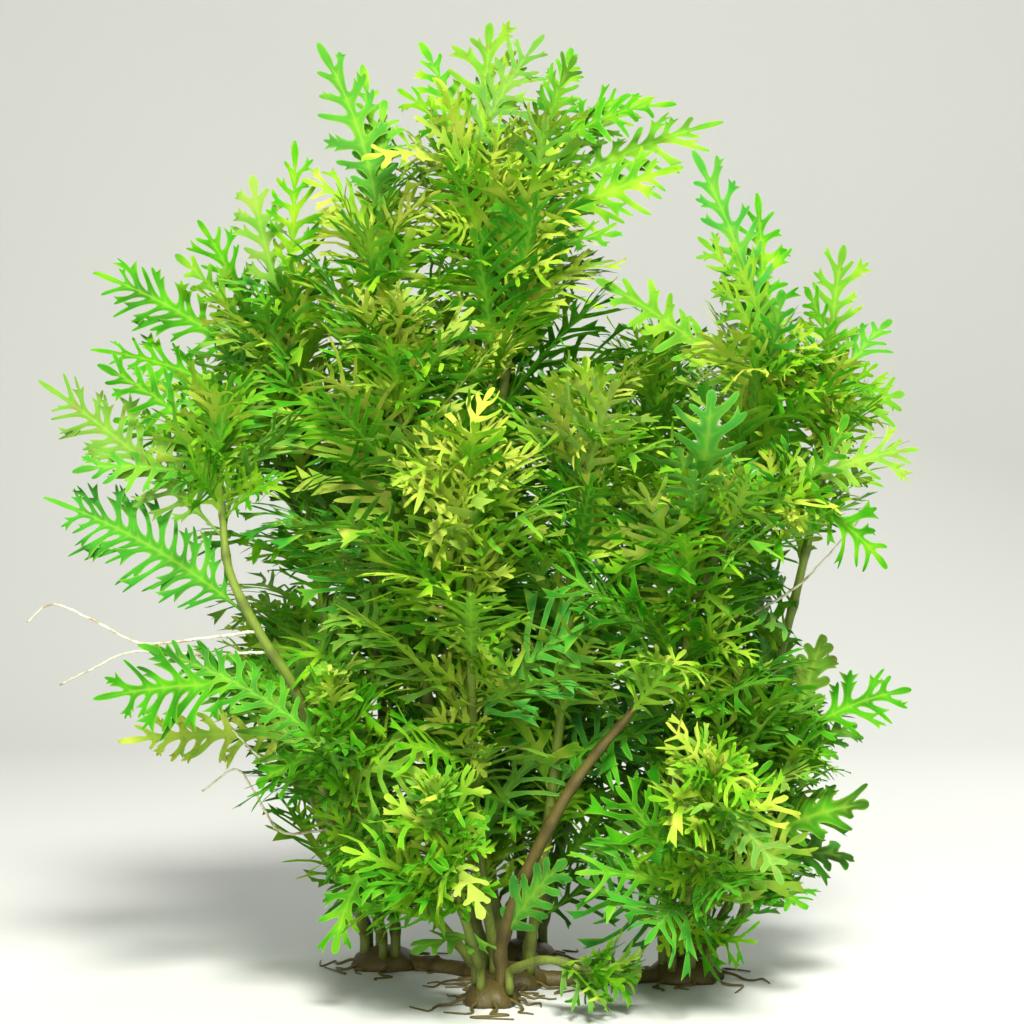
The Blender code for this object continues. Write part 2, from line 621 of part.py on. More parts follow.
def inside_clump(point):
    """Whether the viewer sees a point within the clump's outline."""
    x, z = seen_place(point)
    for (low, *left_right), (high, *next_left_right) in zip(CLUMP_EDGE, CLUMP_EDGE[1:]):
        if low <= z <= high:
            share = (z - low) / (high - low)
            left, right = (a + (b - a) * share for a, b in zip(left_right, next_left_right))
            return left <= x <= right
    return False


def held_inside(leaf):
    """The leaf, shortened until its tip is within the clump's outline, or None."""
    full = leaf.tip - leaf.base
    for share in SHORTENED:
        leaf.tip = leaf.base + full * share
        if inside_clump(leaf.tip):
            leaf.half_width *= share
            return leaf
    return None


def bare_places(paths):
    """Points along the bare stretches of stems: where the viewer sees them, and their depth."""
    places = []
    for stem, (first, last) in BARE_STRETCHES.items():
        total = lengths_along(paths[stem])[-1]
        for k in range(int((last - first) / BARE_STEP) + 1):
            point = along(paths[stem], total - first - BARE_STEP * k)[0]
            places.append((*seen_place(point), point.y))
    return places


def in_bare_stretch(stem, distance):
    """Whether a distance from a stem's tip lies where the stem is bare."""
    first, last = BARE_STRETCHES.get(stem, (0, 0))
    return first < distance < last


def hides(leaf, places):
    """Whether a leaf lies in front of a bare stretch."""
    reach = BARE_VIEW + BARE_VIEW_PER_WIDTH * leaf.half_width
    for share in LEAF_SHARES:
        point = leaf.base.lerp(leaf.tip, share)
        x, z = seen_place(point)
        if any(point.y < depth and math.hypot(x - px, z - pz) < reach for px, pz, depth in places):
            return True
    return False


def free_shape(leaves, stem, solids):
    """The first of some leaves that meets nothing but its own stem, as a mesh and a tree."""
    others = [tree for owner, tree in solids if owner != f"{stem}:stem"]
    for leaf in leaves:
        if leaf is None:
            continue
        mesh = blade_mesh(leaf)
        tree = shape_of(mesh)
        if lowest(mesh) > GAP and not crosses(tree, others):
            return mesh, tree
    return None


def fuse(stem, shape, cutters, solids):
    """Join a leaf's shape to its stem."""
    mesh, tree = shape
    if stem.modifiers.get("union") is None:
        holder = bpy.data.collections.new(f"{stem.name}_leaves")
        cutters.children.link(holder)
        join_all(stem, holder)
    add_cutter(mesh, stem.modifiers["union"].collection)
    solids.append((stem.name, tree))
    return len(mesh.polygons) + JOINT_TRIANGLES


def blade_middle(leaf):
    """The middle of a leaf's blade."""
    return leaf.base.lerp(leaf.tip, BLADE_MIDDLE)


def fuse_leaves(axes, paths, stems, solids, cutters, triangles):
    """Join leaves to their stems: small ones that are seen, then those where the clump is bare."""
    filled = [point for axis in axes.values() for point in axis]
    filled += [blade_middle(seen_leaf(axes, paths, name)) for name in LEAVES]
    for name, (stem, *_) in SMALL_LEAVES.items():
        nudged = (seen_leaf(axes, paths, name, True, nudge) for nudge in NUDGES)
        shape = free_shape(nudged, stem, solids)
        if shape is not None:
            triangles += fuse(stems[stem], shape, cutters, solids)
            filled.append(blade_middle(seen_leaf(axes, paths, name, True)))
    places, bareness, bare = {}, {}, bare_places(paths)
    for stem, path in paths.items():
        leafy = lengths_along(path)[-1] - BARE_FOOT
        pairs = [k for k in range(FIRST_FUSED_PAIR, len(LEAF_PAIRS)) if LEAF_PAIRS[k][0] < leafy
                 and not in_bare_stretch(stem, LEAF_PAIRS[k][0])]
        for key in ((stem, pair, side) for pair in pairs for side in (0, 1)):
            leaf = held_inside(leaf_on_stem(axes, paths, *key))
            if leaf is not None and not hides(leaf, bare):
                places[key] = blade_middle(leaf)
                bareness[key] = min((places[key] - point).length for point in filled)
    outward = {key: OUTWARD_FIRST * math.hypot(place.x, place.y) for key, place in places.items()}
    while bareness and triangles < MOST_TRIANGLES:
        key = max(bareness, key=lambda k: bareness[k] + outward[k])
        del bareness[key]
        turned = (held_inside(leaf_on_stem(axes, paths, *key, turn)) for turn in TURNS)
        shape = free_shape(turned, key[0], solids)
        if shape is None:
            continue
        triangles += fuse(stems[key[0]], shape, cutters, solids)
        for other in bareness:
            bareness[other] = min(bareness[other], (places[other] - places[key]).length)


def build():
    """The whole plant."""
    for obj in list(bpy.data.objects):
        bpy.data.objects.remove(obj)
    pieces = bpy.data.collections.new("water_wisteria")
    cutters = bpy.data.collections.new("cutters")
    bpy.context.scene.collection.children.link(pieces)
    bpy.context.scene.collection.children.link(cutters)
    solids = [("base", build_base(pieces, cutters))]
    paths = stem_paths()
    axes = {name: coarse(path, STEM_STEP, FOOT_HEIGHT if STEMS[name][0] in CROWNS else 0.0)
            for name, path in paths.items()}
    stems = {}
    for name, axis in axes.items():
        stems[name] = build_stem(name, axis, pieces)
        solids.append((f"{name}:stem", shape_of(stems[name].data)))
    for name, (stem, foot, places) in ROOTS.items():
        distance = nearest(paths[stem], foot)
        point = axis_point(axes, paths, stem, distance)
        direction = along(paths[stem], distance)[1]
        route = [seen(*place) for place in places]
        away = route[0] - point
        away = (away - direction * away.dot(direction)).normalized()
        start = point + away * (STEMS[stem][3] + ROOT_RADIUS + GAP)
        route = coarse(smooth_path([start] + route, PATH_STEP), ROOT_STEP)
        mesh = tube_mesh(name, route, [ROOT_RADIUS] * len(route))
        solids.append((name, shape_of(mesh)))
        add_piece(name, mesh, ROOT_WHITE, 0.6, pieces)
    build_leaves(axes, paths, solids, pieces)
    triangles = sum(len(piece.data.polygons) for piece in pieces.objects) + BASE_TRIANGLES
    fuse_leaves(axes, paths, stems, solids, cutters, triangles)


build()
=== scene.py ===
"""Looks of the water wisteria: every leaf, stem, root and the creeping base as fine meshes.

The plan of the plant is the same as the solids' own: millimetres, seen from EYE along +Y, with
stems and large leaves placed where the photograph shows them on the plane y = 0.
"""

import math
import random
from collections import Counter, namedtuple
from dataclasses import dataclass, field

import bpy
import numpy as np
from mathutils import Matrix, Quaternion, Vector


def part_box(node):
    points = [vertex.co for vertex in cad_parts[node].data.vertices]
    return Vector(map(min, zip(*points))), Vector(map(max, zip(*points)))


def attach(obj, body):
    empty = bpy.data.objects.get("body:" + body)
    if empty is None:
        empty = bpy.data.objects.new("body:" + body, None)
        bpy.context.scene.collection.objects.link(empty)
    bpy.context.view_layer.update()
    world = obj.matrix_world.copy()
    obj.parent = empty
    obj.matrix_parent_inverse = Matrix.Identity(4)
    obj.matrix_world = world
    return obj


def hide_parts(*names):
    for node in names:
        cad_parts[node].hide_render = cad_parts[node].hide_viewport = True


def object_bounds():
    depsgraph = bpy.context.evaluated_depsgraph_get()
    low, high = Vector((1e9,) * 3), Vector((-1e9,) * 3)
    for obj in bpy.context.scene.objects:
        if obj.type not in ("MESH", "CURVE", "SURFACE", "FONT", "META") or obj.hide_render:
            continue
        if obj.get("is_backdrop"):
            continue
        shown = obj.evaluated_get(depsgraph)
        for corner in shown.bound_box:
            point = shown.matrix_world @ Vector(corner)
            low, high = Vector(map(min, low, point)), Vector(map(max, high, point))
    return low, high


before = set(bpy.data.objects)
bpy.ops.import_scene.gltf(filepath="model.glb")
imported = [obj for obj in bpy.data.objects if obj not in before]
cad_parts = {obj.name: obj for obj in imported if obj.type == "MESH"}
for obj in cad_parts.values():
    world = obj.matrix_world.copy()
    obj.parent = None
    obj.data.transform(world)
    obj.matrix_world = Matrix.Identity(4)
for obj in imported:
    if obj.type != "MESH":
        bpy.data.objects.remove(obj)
size_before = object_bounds()

MM = 0.001
EYE = Vector((0.0, -900.0, 189.0))
UP = Vector((0.0, 0.0, 1.0))
GAP = 0.3
NEAREST_TRIES = 200

# The stems and the joints at which their leaves stand, in millimetres or as shares.
STEM_TIP_RADIUS = 0.9
STEM_STEP = 6.0
FOOT_HEIGHT = 5.0
FOOT_SINK = 3.5
FEWEST_RINGS = 12
RING_STEP = 2.6
LOWEST_JOINT = 8.0
FIRST_JOINT = 9.0
JOINT_LENGTH = 2.4
JOINT_SWELL = 0.26
SKIN_WIDTH = 0.94
STEM_RIDGE = 0.04
BARE_FOOT = 26.0
# The height of the crowns of the creeping base, and where each stands (x, y) with its radius.
CROWN_TOP = 8.0
CROWNS = {
    "middle": (0.0, 0.0, 14.0),
    "left": (-52.0, 36.0, 13.5),
    "right": (70.0, 12.0, 15.0),
    "front": (-8.0, -34.0, 11.0),
    "back": (6.0, 52.0, 12.0),
}

# For each pair of leaves from the stem's tip down: the distance from the tip, the leaves' length
# and their angle from the stem in degrees.
LEAF_PAIRS = (
    (3.0, 13.0, 12.0),
    (8.0, 22.0, 22.0),
    (15.0, 33.0, 31.0),
    (24.0, 44.0, 39.0),
    (36.0, 54.0, 46.0),
    (52.0, 62.0, 51.0),
    (72.0, 67.0, 55.0),
    (95.0, 70.0, 59.0),
    (120.0, 68.0, 62.0),
    (147.0, 64.0, 65.0),
    (176.0, 58.0, 68.0),
    (206.0, 54.0, 70.0),
    (238.0, 50.0, 72.0),
    (272.0, 46.0, 74.0),
)
# Each stem: its crown or the stem that it branches from, where it starts there (an offset on the
# crown, or the share of the other stem), the places that it passes (x, z, depth), its radius, its
# vigour, which scales its leaves, the turn of its first pair of leaves in degrees, and how much
# yellower than others its leaves are.
Stem = namedtuple("Stem", "origin start places radius vigour turn tint")
STEMS = {
    "stem_top": ("middle", (-4, 4), ((-9, 54, 4), (-10, 154, 5), (-8, 234, 6), (-9, 290, 8),
                                     (-17, 328, 10)), 2.4, 1.0, 20, 0.22),
    "stem_centre": ("middle", (-7, -7), ((-14, 60, -22), (-16, 120, -44), (-17, 170, -57),
                                         (-17, 208, -62)), 2.2, 1.0, 60, 0.2),
    "stem_centre_upper": ("middle", (-11, 2), ((-27, 70, -4), (-38, 150, -18), (-44, 215, -28),
                                               (-45, 262, -32)), 2.2, 1.0, 100, 0.14),
    "stem_centre_right": ("middle", (7, -6), ((15, 70, -14), (23, 140, -22), (28, 195, -23),
                                              (31, 236, -20)), 2.2, 1.0, 45, 0.1),
    "stem_back_middle": ("middle", (6, 8), ((20, 60, 40), (20, 110, 88), (12, 152, 104)),
                         2.0, 0.9, 10, -0.2),
    "stem_top_left": ("left", (4, -8), ((-50, 80, 18), (-55, 170, 4), (-55, 250, -6),
                                        (-53, 308, -10)), 2.2, 0.95, 75, 0.08),
    "stem_upper_left": ("left", (-3, 4), ((-66, 90, 36), (-78, 170, 28), (-86, 230, 20),
                                          (-92, 278, 15)), 2.2, 0.95, 35, -0.06),
    "stem_left": ("left", (-9, -2), ((-74, 74, 2), (-85, 114, -22), (-100, 139, -32),
                                     (-113, 165, -37), (-116, 192, -39), (-119, 226, -40)),
                  2.3, 1.05, 0, -0.06),
    "stem_left_low": ("left", (-1, -10), ((-60, 50, -14), (-70, 92, -42), (-72, 118, -52)),
                      2.0, 0.85, 50, -0.06),
    "stem_left_back": ("left", (-8, 8), ((-78, 70, 66), (-90, 110, 78), (-92, 142, 80)),
                       2.0, 0.95, 80, -0.15),
    "stem_left_front": ("front", (-6, 2), ((-30, 26, -38), (-46, 44, -42), (-52, 60, -44)),
                        1.9, 0.8, 15, -0.08),
    "stem_front_low": ("front", (-4, -5), ((-20, 30, -62), (-27, 56, -78), (-30, 76, -84)),
                       1.9, 0.75, 65, 0.02),
    "stem_brown": ("front", (4, 0), ((-5, 12, -34), (2, 36, -42), (18, 69, -52), (31, 89, -56),
                                     (47, 108, -60), (58, 124, -62)), 2.6, 0.8, 30, 0.14),
    "stem_creeping": ("front", (7, -6), ((14, 10, -52), (30, 6, -58), (46, 5, -54)),
                      1.8, 0.6, 45, -0.1),
    "stem_right": ("right", (-2, 2), ((75, 74, 8), (83, 154, 5), (95, 214, 2), (103, 256, 0)),
                   2.4, 1.0, 25, 0.1),
    "stem_right_outer": ("right", (6, 8), ((92, 80, 20), (112, 150, 16), (124, 205, 12),
                                           (129, 244, 10)), 2.2, 0.8, 70, 0.08),
    "stem_right_mid": ("right", (-9, -3), ((64, 70, -12), (70, 140, -32), (75, 200, -42)),
                       2.2, 1.0, 0, 0.06),
    "stem_right_inner": ("right", (2, -9), ((82, 50, -12), (89, 90, -16), (92, 120, -16)),
                         2.0, 0.85, 55, 0.0),
    "stem_right_front": ("right", (-6, -11), ((70, 36, -42), (78, 64, -68), (80, 86, -78)),
                         2.0, 0.8, 20, 0.08),
    "stem_far_right_low": ("right", (9, 1), ((96, 50, 4), (110, 85, 2), (115, 108, 0)),
                           2.0, 0.8, 85, -0.1),
    "stem_low_right": ("right", (9, -6), ((90, 24, -6), (98, 44, -14), (101, 62, -18)),
                       1.9, 0.7, 40, -0.12),
    "stem_back": ("back", (-2, 4), ((0, 120, 68), (0, 220, 72), (0, 290, 72)), 2.3, 1.0, 5, -0.05),
    "stem_back_left": ("back", (-9, 0), ((-28, 90, 66), (-48, 170, 76), (-60, 230, 80)),
                       2.2, 1.0, 50, -0.12),
    "stem_back_right": ("back", (7, 2), ((28, 90, 74), (48, 180, 84), (60, 250, 86)),
                        2.2, 1.0, 90, -0.1),
    "stem_back_far_right": ("right", (1, 11), ((84, 70, 46), (97, 125, 66), (100, 160, 72)),
                            2.0, 0.95, 30, -0.2),
    "stem_top_right": ("stem_top", 0.66, ((0, 262, 14), (6, 300, 22), (13, 336, 26)),
                       1.9, 0.9, 60, 0.15),
    "stem_left_upper": ("stem_upper_left", 0.6, ((-94, 215, 32), (-101, 256, 36)),
                        1.8, 0.85, 10, -0.08),
    "stem_right_arm": ("stem_right_mid", 0.78, ((88, 184, -44), (104, 192, -42),
                                                (117, 200, -38)), 1.8, 0.75, 70, 0.0),
}
STEMS = {name: Stem(*row) for name, row in STEMS.items()}

# Each large leaf that the photograph shows at the outline: its stem, where it leaves it (x, z), its
# tip (x, z, depth), its half width, its bow as a share of its length, and its tilt in degrees,
# which is 0 where the blade faces the viewer and 90 where it faces up.
LEAVES = {
    "leaf_top_left": ("stem_top_left", (-54, 304), (-78, 377, -18), 14, 0.06, 20),
    "leaf_top_spire": ("stem_top", (-16, 326), (-9, 385, 8), 16, -0.03, 10),
    "leaf_top_right": ("stem_top_right", (12, 332), (48, 356, 22), 12, 0.06, 30),
    "leaf_top_right_long": ("stem_top_right", (8, 312), (85, 345, 14), 13, 0.05, 35),
    "leaf_top_right_broad": ("stem_top_right", (5, 296), (69, 327, 4), 18, 0.06, 25),
    "leaf_upper_left": ("stem_left_upper", (-100, 252), (-126, 306, 26), 14, 0.05, 15),
    "leaf_upper_left_long": ("stem_left_upper", (-99, 244), (-168, 285, 24), 17, 0.05, 25),
    "leaf_left_out": ("stem_left_upper", (-96, 226), (-169, 254, 18), 14, 0.07, 35),
    "leaf_yellow_finger": ("stem_upper_left", (-91, 272), (-104, 324, 4), 13, -0.04, 10),
    "leaf_left_long": ("stem_left", (-115, 178), (-190, 242, -44), 17, 0.03, 15),
    "leaf_left_fern": ("stem_left", (-102, 146), (-188, 195, -56), 20, 0.05, 10),
    "leaf_left_low": ("stem_left", (-87, 118), (-168, 114, -72), 18, 0.04, 20),
    "leaf_left_ragged": ("stem_left", (-80, 98), (-158, 97, -14), 12, 0.03, 20),
    "leaf_right_upper": ("stem_right", (102, 252), (72, 334, -6), 14, 0.04, 15),
    "leaf_right_upper_short": ("stem_right", (102, 250), (98, 317, 12), 15, 0.02, 20),
    "leaf_right_inner_long": ("stem_right", (98, 232), (33, 282, -12), 15, 0.05, 30),
    "leaf_right_tall": ("stem_right_outer", (128, 240), (133, 296, 8), 13, 0.04, 15),
    "leaf_right_out": ("stem_right_outer", (126, 224), (157, 236, -2), 13, 0.08, 30),
    "leaf_right_arm": ("stem_right_arm", (116, 199), (163, 214, -44), 15, 0.06, 30),
    "leaf_right_arm_low": ("stem_right_arm", (110, 196), (150, 166, -36), 14, 0.08, 30),
    "leaf_bluish": ("stem_right_mid", (75, 196), (80, 238, -66), 17, -0.06, 15),
    "leaf_right_low_spire": ("stem_far_right_low", (114, 104), (125, 140, 4), 10, 0.03, 10),
    "leaf_right_low_long": ("stem_far_right_low", (113, 98), (160, 118, -4), 15, 0.07, 30),
    "leaf_dark": ("stem_low_right", (100, 58), (143, 72, -26), 14, 0.06, 45),
    "leaf_right_floor": ("stem_low_right", (93, 32), (118, 30, -52), 12, 0.12, 60),
    "leaf_front_hang": ("stem_left_front", (-50, 56), (-71, 12, -58), 11, 0.1, 30),
}

# The same for smaller leaves that show in the photograph. They are fused to their stems.
SMALL_LEAVES = {
    "small_top_left": ("stem_top_left", (-55, 296), (-60, 368, 4), 9, 0.05, 20),
    "small_top": ("stem_top", (-17, 320), (-37, 377, 24), 12, 0.05, 20),
    "small_top_right": ("stem_top_right", (12, 326), (24, 375, 40), 11, 0.02, 10),
    "small_top_right_fan": ("stem_top_right", (9, 316), (56, 355, 44), 10, 0.06, 35),
    "small_top_right_low": ("stem_top_right", (3, 286), (44, 300, -8), 12, 0.08, 40),
    "small_left_inner": ("stem_left", (-115, 186), (-86, 203, -66), 11, 0.08, 40),
    "small_left_mid": ("stem_left", (-117, 200), (-160, 226, -18), 13, 0.08, 35),
    "small_right_fan": ("stem_right_outer", (129, 234), (152, 266, 22), 10, 0.06, 30),
    "small_right_tip": ("stem_right", (101, 244), (108, 278, -26), 9, -0.08, 20),
    "small_right_curl": ("stem_right_arm", (112, 197), (134, 228, -58), 9, -0.1, 30),
    "small_right_low": ("stem_far_right_low", (108, 84), (138, 104, 22), 11, 0.08, 35),
    "small_dark_low": ("stem_low_right", (98, 48), (137, 50, 2), 12, 0.08, 50),
    "small_low_right": ("stem_right_front", (79, 70), (108, 40, -100), 10, 0.12, 45),
    "small_left_low": ("stem_left_low", (-70, 92), (-102, 79, -30), 11, 0.08, 40),
    "small_ring_right": ("stem_brown", (-3, 16), (22, 50, -62), 11, 0.05, 25),
    "small_ring_left": ("stem_brown", (-4, 13), (-40, 12, -64), 10, 0.12, 60),
    "small_hang": ("stem_front_low", (-25, 50), (-12, 26, -104), 9, 0.12, 40),
}

# Each free root: the stem and where it leaves it (x, z), and the places it passes.
ROOTS = {
    "root_left_upper": ("stem_left", (-101, 141), ((-137, 137, -38), (-151, 137, -40),
                                                   (-168, 146, -42), (-184, 152, -40),
                                                   (-194, 145, -36))),
    "root_left_middle": ("stem_left", (-96, 134), ((-124, 132, -28), (-152, 133, -24),
                                                   (-166, 127, -20), (-181, 120, -18))),
    "root_left_lower": ("stem_left", (-78, 88), ((-88, 82, -14), (-101, 91, -18),
                                                 (-112, 102, -20))),
    "root_left_bottom": ("stem_left", (-72, 62), ((-92, 61, 0), (-103, 77, -4), (-111, 86, -6),
                                                  (-124, 77, -8))),
    "root_right": ("stem_right", (82, 142), ((101, 151, -6), (115, 160, -12), (126, 171, -16),
                                             (140, 187, -18))),
}

# Leaves: half width, bow, stalk and last lobe as shares of the length, the lobes' spacing in
# millimetres and their foot as a share of it, the lengths below which a leaf is plainer, and the
# shifts in depth at which a large leaf's solid may stand.
LEAF_WIDTH = 0.36
LEAF_BOW = 0.1
PETIOLE_SHARE = 0.14
LAST_LOBE = 0.84
LOBE_SPACING = 6.8
LOBE_FOOT = 0.21
SMALL_LEAF = 24.0
SHORTEST_LOBED = 18
NUDGES = (0, 5, -5, 10, -10, 16, -16, 24, -24, 32, -32)

# A lobe's rows from its foot towards its tip, and its half width at each for the kinds of leaves,
# as shares of its length and of its half width at the foot. The leaves seen at the outline have
# four rows, the others three, and the smallest two.
LOBE_ROWS = (0.26, 0.52, 0.76, 0.93)
LOBE_SHAPES = {
    "linear": (0.72, 0.66, 0.64, 0.40),
    "spoon": (0.60, 0.74, 0.92, 0.58),
    "broad": (0.95, 1.00, 0.85, 0.50),
}
PLAIN_ROWS = (0.34, 0.68, 0.92)
PLAIN_SHAPES = {
    "linear": (0.70, 0.66, 0.44),
    "spoon": (0.62, 0.88, 0.60),
    "broad": (0.98, 0.94, 0.54),
}
SHORT_ROWS = (0.40, 0.80)
SHORT_SHAPE = (0.80, 0.60)
TOOTHED_ROWS = (1, 2)
SHORTEST_TOOTHED = 7
TERMINAL_ROWS = (0.22, 0.48, 0.74, 0.92)
TERMINAL_SHAPE = (0.80, 0.95, 0.80, 0.45)

# The pairs of leaves with short shoots in their corners, the shoots' leaves, and the turn and
# opening of the leaves between two pairs.
FIRST_SHOOT_PAIR = 3
LAST_DOUBLE_SHOOT = 8
SHOOT_LEAVES = 5
SHOOT_REACH = 9.0
QUARTER = 90
EXTRA_TURN = 45
EXTRA_OPENING = 0.72
# How far a leaf may roll, how it yellows towards the tip, how much lighter its colour is painted
# higher up, where the light falls, when it is left out beside another, and how much it may be
# shortened to stay inside the clump.
MOST_ROLL = 38.0
YOUNG_STRETCH = 85.0
DIM_HEIGHT = 60.0
LIT_RISE = 280.0
CROWDED_DISTANCE = 12.0
CROWDED_ANGLE = 30.0
HELD_SHARES = (1.0, 0.85, 0.7, 0.55)
# Each dense rosette of young leaves: its stem, where its middle is from the stem's tip, how many
# leaves it has, their shortest and longest length, their widest opening in degrees and their tint.
ROSETTES = (
    ("stem_top", 22.0, 30, 24.0, 48.0, 100.0, 0.92),
    ("stem_top_right", 18.0, 8, 20.0, 34.0, 85.0, 0.80),
    ("stem_right", 14.0, 14, 20.0, 38.0, 95.0, 0.84),
    ("stem_right_outer", 10.0, 8, 18.0, 32.0, 85.0, 0.72),
    ("stem_centre", 6.0, 10, 20.0, 36.0, 95.0, 0.92),
    ("stem_right_front", 4.0, 8, 18.0, 32.0, 85.0, 0.80),
)
# Where the photograph shows a stem bare: from and to a distance from its tip. Leaves that would
# hide points a step apart on it are left out.
BARE_STRETCHES = {"stem_brown": (22.0, 108.0), "stem_left": (42.0, 118.0)}
BARE_STEP = 5.0
BARE_VIEW = 3.0
BARE_VIEW_PER_WIDTH = 0.5
LEAF_SHARES = (0.3, 0.45, 0.6, 0.75, 0.9, 1.0)

# The clump's outline as the viewer sees it: the height, then the least and the greatest x there.
CLUMP_EDGE = (
    (0, -45, 55), (14, -66, 100), (34, -68, 112), (54, -77, 130), (78, -98, 134),
    (98, -104, 130), (118, -112, 128), (138, -118, 112), (154, -122, 95), (170, -132, 100),
    (186, -160, 134), (214, -176, 156), (238, -180, 148), (262, -165, 146), (286, -160, 134),
    (306, -118, 94), (322, -100, 72), (338, -88, 68), (354, -84, 66), (370, -76, 34),
    (384, -8, 16),
)
# More leaves that the photograph shows: their stem, where they leave it (x, z), their tip
# (x, z, depth), half width, bow and tilt, as for the large leaves.
FINE_LEAVES = {
    "top_a": ("stem_top", (-17, 322), (-46, 358, -6), 12, 0.10, 20),
    "top_b": ("stem_top", (-15, 312), (-39, 347, -18), 12, 0.12, 30),
    "top_c": ("stem_top_left", (-53, 302), (-51, 354, -4), 11, 0.04, 10),
    "top_d": ("stem_top", (-17, 326), (-31, 361, -22), 11, 0.08, 25),
    "top_e": ("stem_top", (-17, 327), (13, 380, 0), 14, 0.06, 15),
    "top_f": ("stem_top_right", (13, 334), (26, 372, 10), 10, 0.08, 20),
    "top_g": ("stem_top_right", (12, 330), (66, 352, 2), 11, 0.10, 30),
    "top_h": ("stem_top", (-16, 318), (-60, 330, -30), 13, 0.12, 40),
    "left_curl": ("stem_upper_left", (-91, 270), (-87, 338, 0), 13, -0.10, 15),
    "left_curl_low": ("stem_top_left", (-54, 292), (-84, 322, -16), 13, 0.14, 30),
    "right_a": ("stem_right", (102, 252), (74, 299, -8), 12, 0.10, 25),
    "right_b": ("stem_right", (101, 246), (80, 281, -22), 12, 0.12, 35),
    "right_c": ("stem_right", (102, 254), (88, 292, -14), 11, 0.06, 20),
    "right_d": ("stem_right_outer", (128, 240), (117, 279, -6), 9, 0.10, 20),
    "right_e": ("stem_right_outer", (128, 238), (108, 262, -14), 9, 0.12, 35),
    "left_a": ("stem_left_upper", (-97, 228), (-150, 237, 8), 12, 0.10, 35),
    "left_b": ("stem_left_upper", (-100, 250), (-135, 292, 18), 10, 0.06, 20),
    "left_c": ("stem_left", (-117, 200), (-176, 205, -48), 12, 0.08, 30),
    "left_d": ("stem_left", (-117, 214), (-166, 248, -50), 12, 0.05, 20),
    "low_left": ("stem_left_low", (-68, 92), (-150, 136, -40), 12, 0.06, 25),
}
# What sets some of the seen leaves apart in the photograph.
LOOKS = {
    "leaf_top_spire": dict(tint=0.60, spacing=8.0),
    "leaf_top_left": dict(tint=0.46, spacing=9.0, web=0.16),
    "leaf_top_right": dict(tint=0.48, spacing=6.0),
    "leaf_top_right_long": dict(tint=0.5, spacing=7.0, half_width=16),
    "left_curl": dict(tint=0.6, wave=1.6),
    "left_curl_low": dict(tint=0.75, wave=1.6),
    "top_b": dict(tint=0.9, wave=1.8),
    "top_d": dict(tint=0.85, wave=1.6),
    "top_h": dict(tint=0.95, wave=2.0),
    "leaf_top_right_broad": dict(tint=0.6, spacing=7.0),
    "leaf_yellow_finger": dict(tint=0.8, spacing=7.0, worn=0.3),
    "leaf_left_long": dict(tint=0.42, spacing=5.0, blue=0.4),
    "leaf_left_fern": dict(tint=0.36, spacing=4.6, blue=0.5),
    "leaf_left_low": dict(tint=0.36, spacing=6.0),
    "leaf_left_ragged": dict(tint=0.78, spacing=6.0, worn=1.0, wave=1.5),
    "leaf_bluish": dict(tint=0.5, blue=0.9, web=0.24, full=1.2, teeth=0.15),
    "leaf_dark": dict(tint=0.12, blue=0.0, web=0.34, full=1.5, spacing=7.0, teeth=0.1),
    "leaf_right_low_spire": dict(tint=0.3, web=0.4, full=1.5, spacing=7.0, shape="broad"),
    "leaf_right_low_long": dict(tint=0.42, spacing=7.5),
    "leaf_right_out": dict(tint=0.48, spacing=7.0),
    "leaf_right_arm": dict(tint=0.5, spacing=7.0),
    "small_dark_low": dict(tint=0.15, web=0.4, full=1.5, shape="broad"),
    "small_ring_right": dict(tint=0.35, blue=0.8, web=0.3, full=1.3, shape="broad"),
    "small_hang": dict(tint=0.95, worn=0.7),
}

# The creeping base: its runners, rootlets and knots, whose rings are given by their height and
# radius as shares of the crown's.
RUNNER_RADIUS = 4.2
RUNNER_HEIGHT = 2.4
RUNNER_BEND = 0.08
ROOTLETS = 9
ROOTLET_STEPS = 6
KNOT_ROWS = ((0.0, 1.0), (0.18, 1.02), (0.42, 0.96), (0.68, 0.84), (0.9, 0.62), (1.05, 0.36),
             (1.1, 0.05))
KNOT_SIDES = 28

# The materials' noise, and the stage, light and camera, in metres.
NOISE_ROUGHNESS = 0.55
FLOOR_DEPTH = 0.9
WALL_HEIGHT = 2.4
SWEEP_RADIUS = 0.6
SWEEP_STEPS = 12
STAGE_HALF_WIDTH = 2.6
WORLD_STRENGTH = 0.20
# Each lamp, in metres and watts: its name, its place, where it looks, its size, power and colour.
LAMPS = (
    ("key", (0.2, -1.2, 1.45), (0, 0, 0.18), 0.45, 66.0, (1.0, 0.99, 0.90)),
    ("fill", (-0.35, -1.45, 0.40), (0, 0, 0.18), 0.5, 10.0, (1.0, 1.0, 0.92)),
    ("rim", (0.5, 0.9, 0.9), (0, 0, 0.25), 0.6, 7.0, (1.0, 1.0, 0.96)),
)
# The camera's sensor in millimetres, and its focal length from the same in the picture's pixels.
SENSOR_WIDTH = 36.0
FOCAL_PIXELS = 2250.0
PICTURE_PIXELS = 1024.0
CAMERA_FOCAL = FOCAL_PIXELS / PICTURE_PIXELS * SENSOR_WIDTH


def seen(x, z, depth):
    """The point at a depth behind the plane y = 0 that the viewer sees at x, z on that plane."""
    share = depth / -EYE.y
    return Vector((x + x * share, depth, z + (z - EYE.z) * share))


def smooth_path(points, step):
    """Points a step apart or less on a smooth curve through the given points."""
    ends = [2 * points[0] - points[1]] + points + [2 * points[-1] - points[-2]]
    path = [points[0]]
    for before, start, end, after in zip(ends, ends[1:], ends[2:], ends[3:]):
        count = max(1, math.ceil((end - start).length / step))
        for k in range(1, count + 1):
            t = k / count
            path.append(0.5 * (2 * start + (end - before) * t
                               + (2 * before - 5 * start + 4 * end - after) * t ** 2
                               + (3 * start - before - 3 * end + after) * t ** 3))
    return path


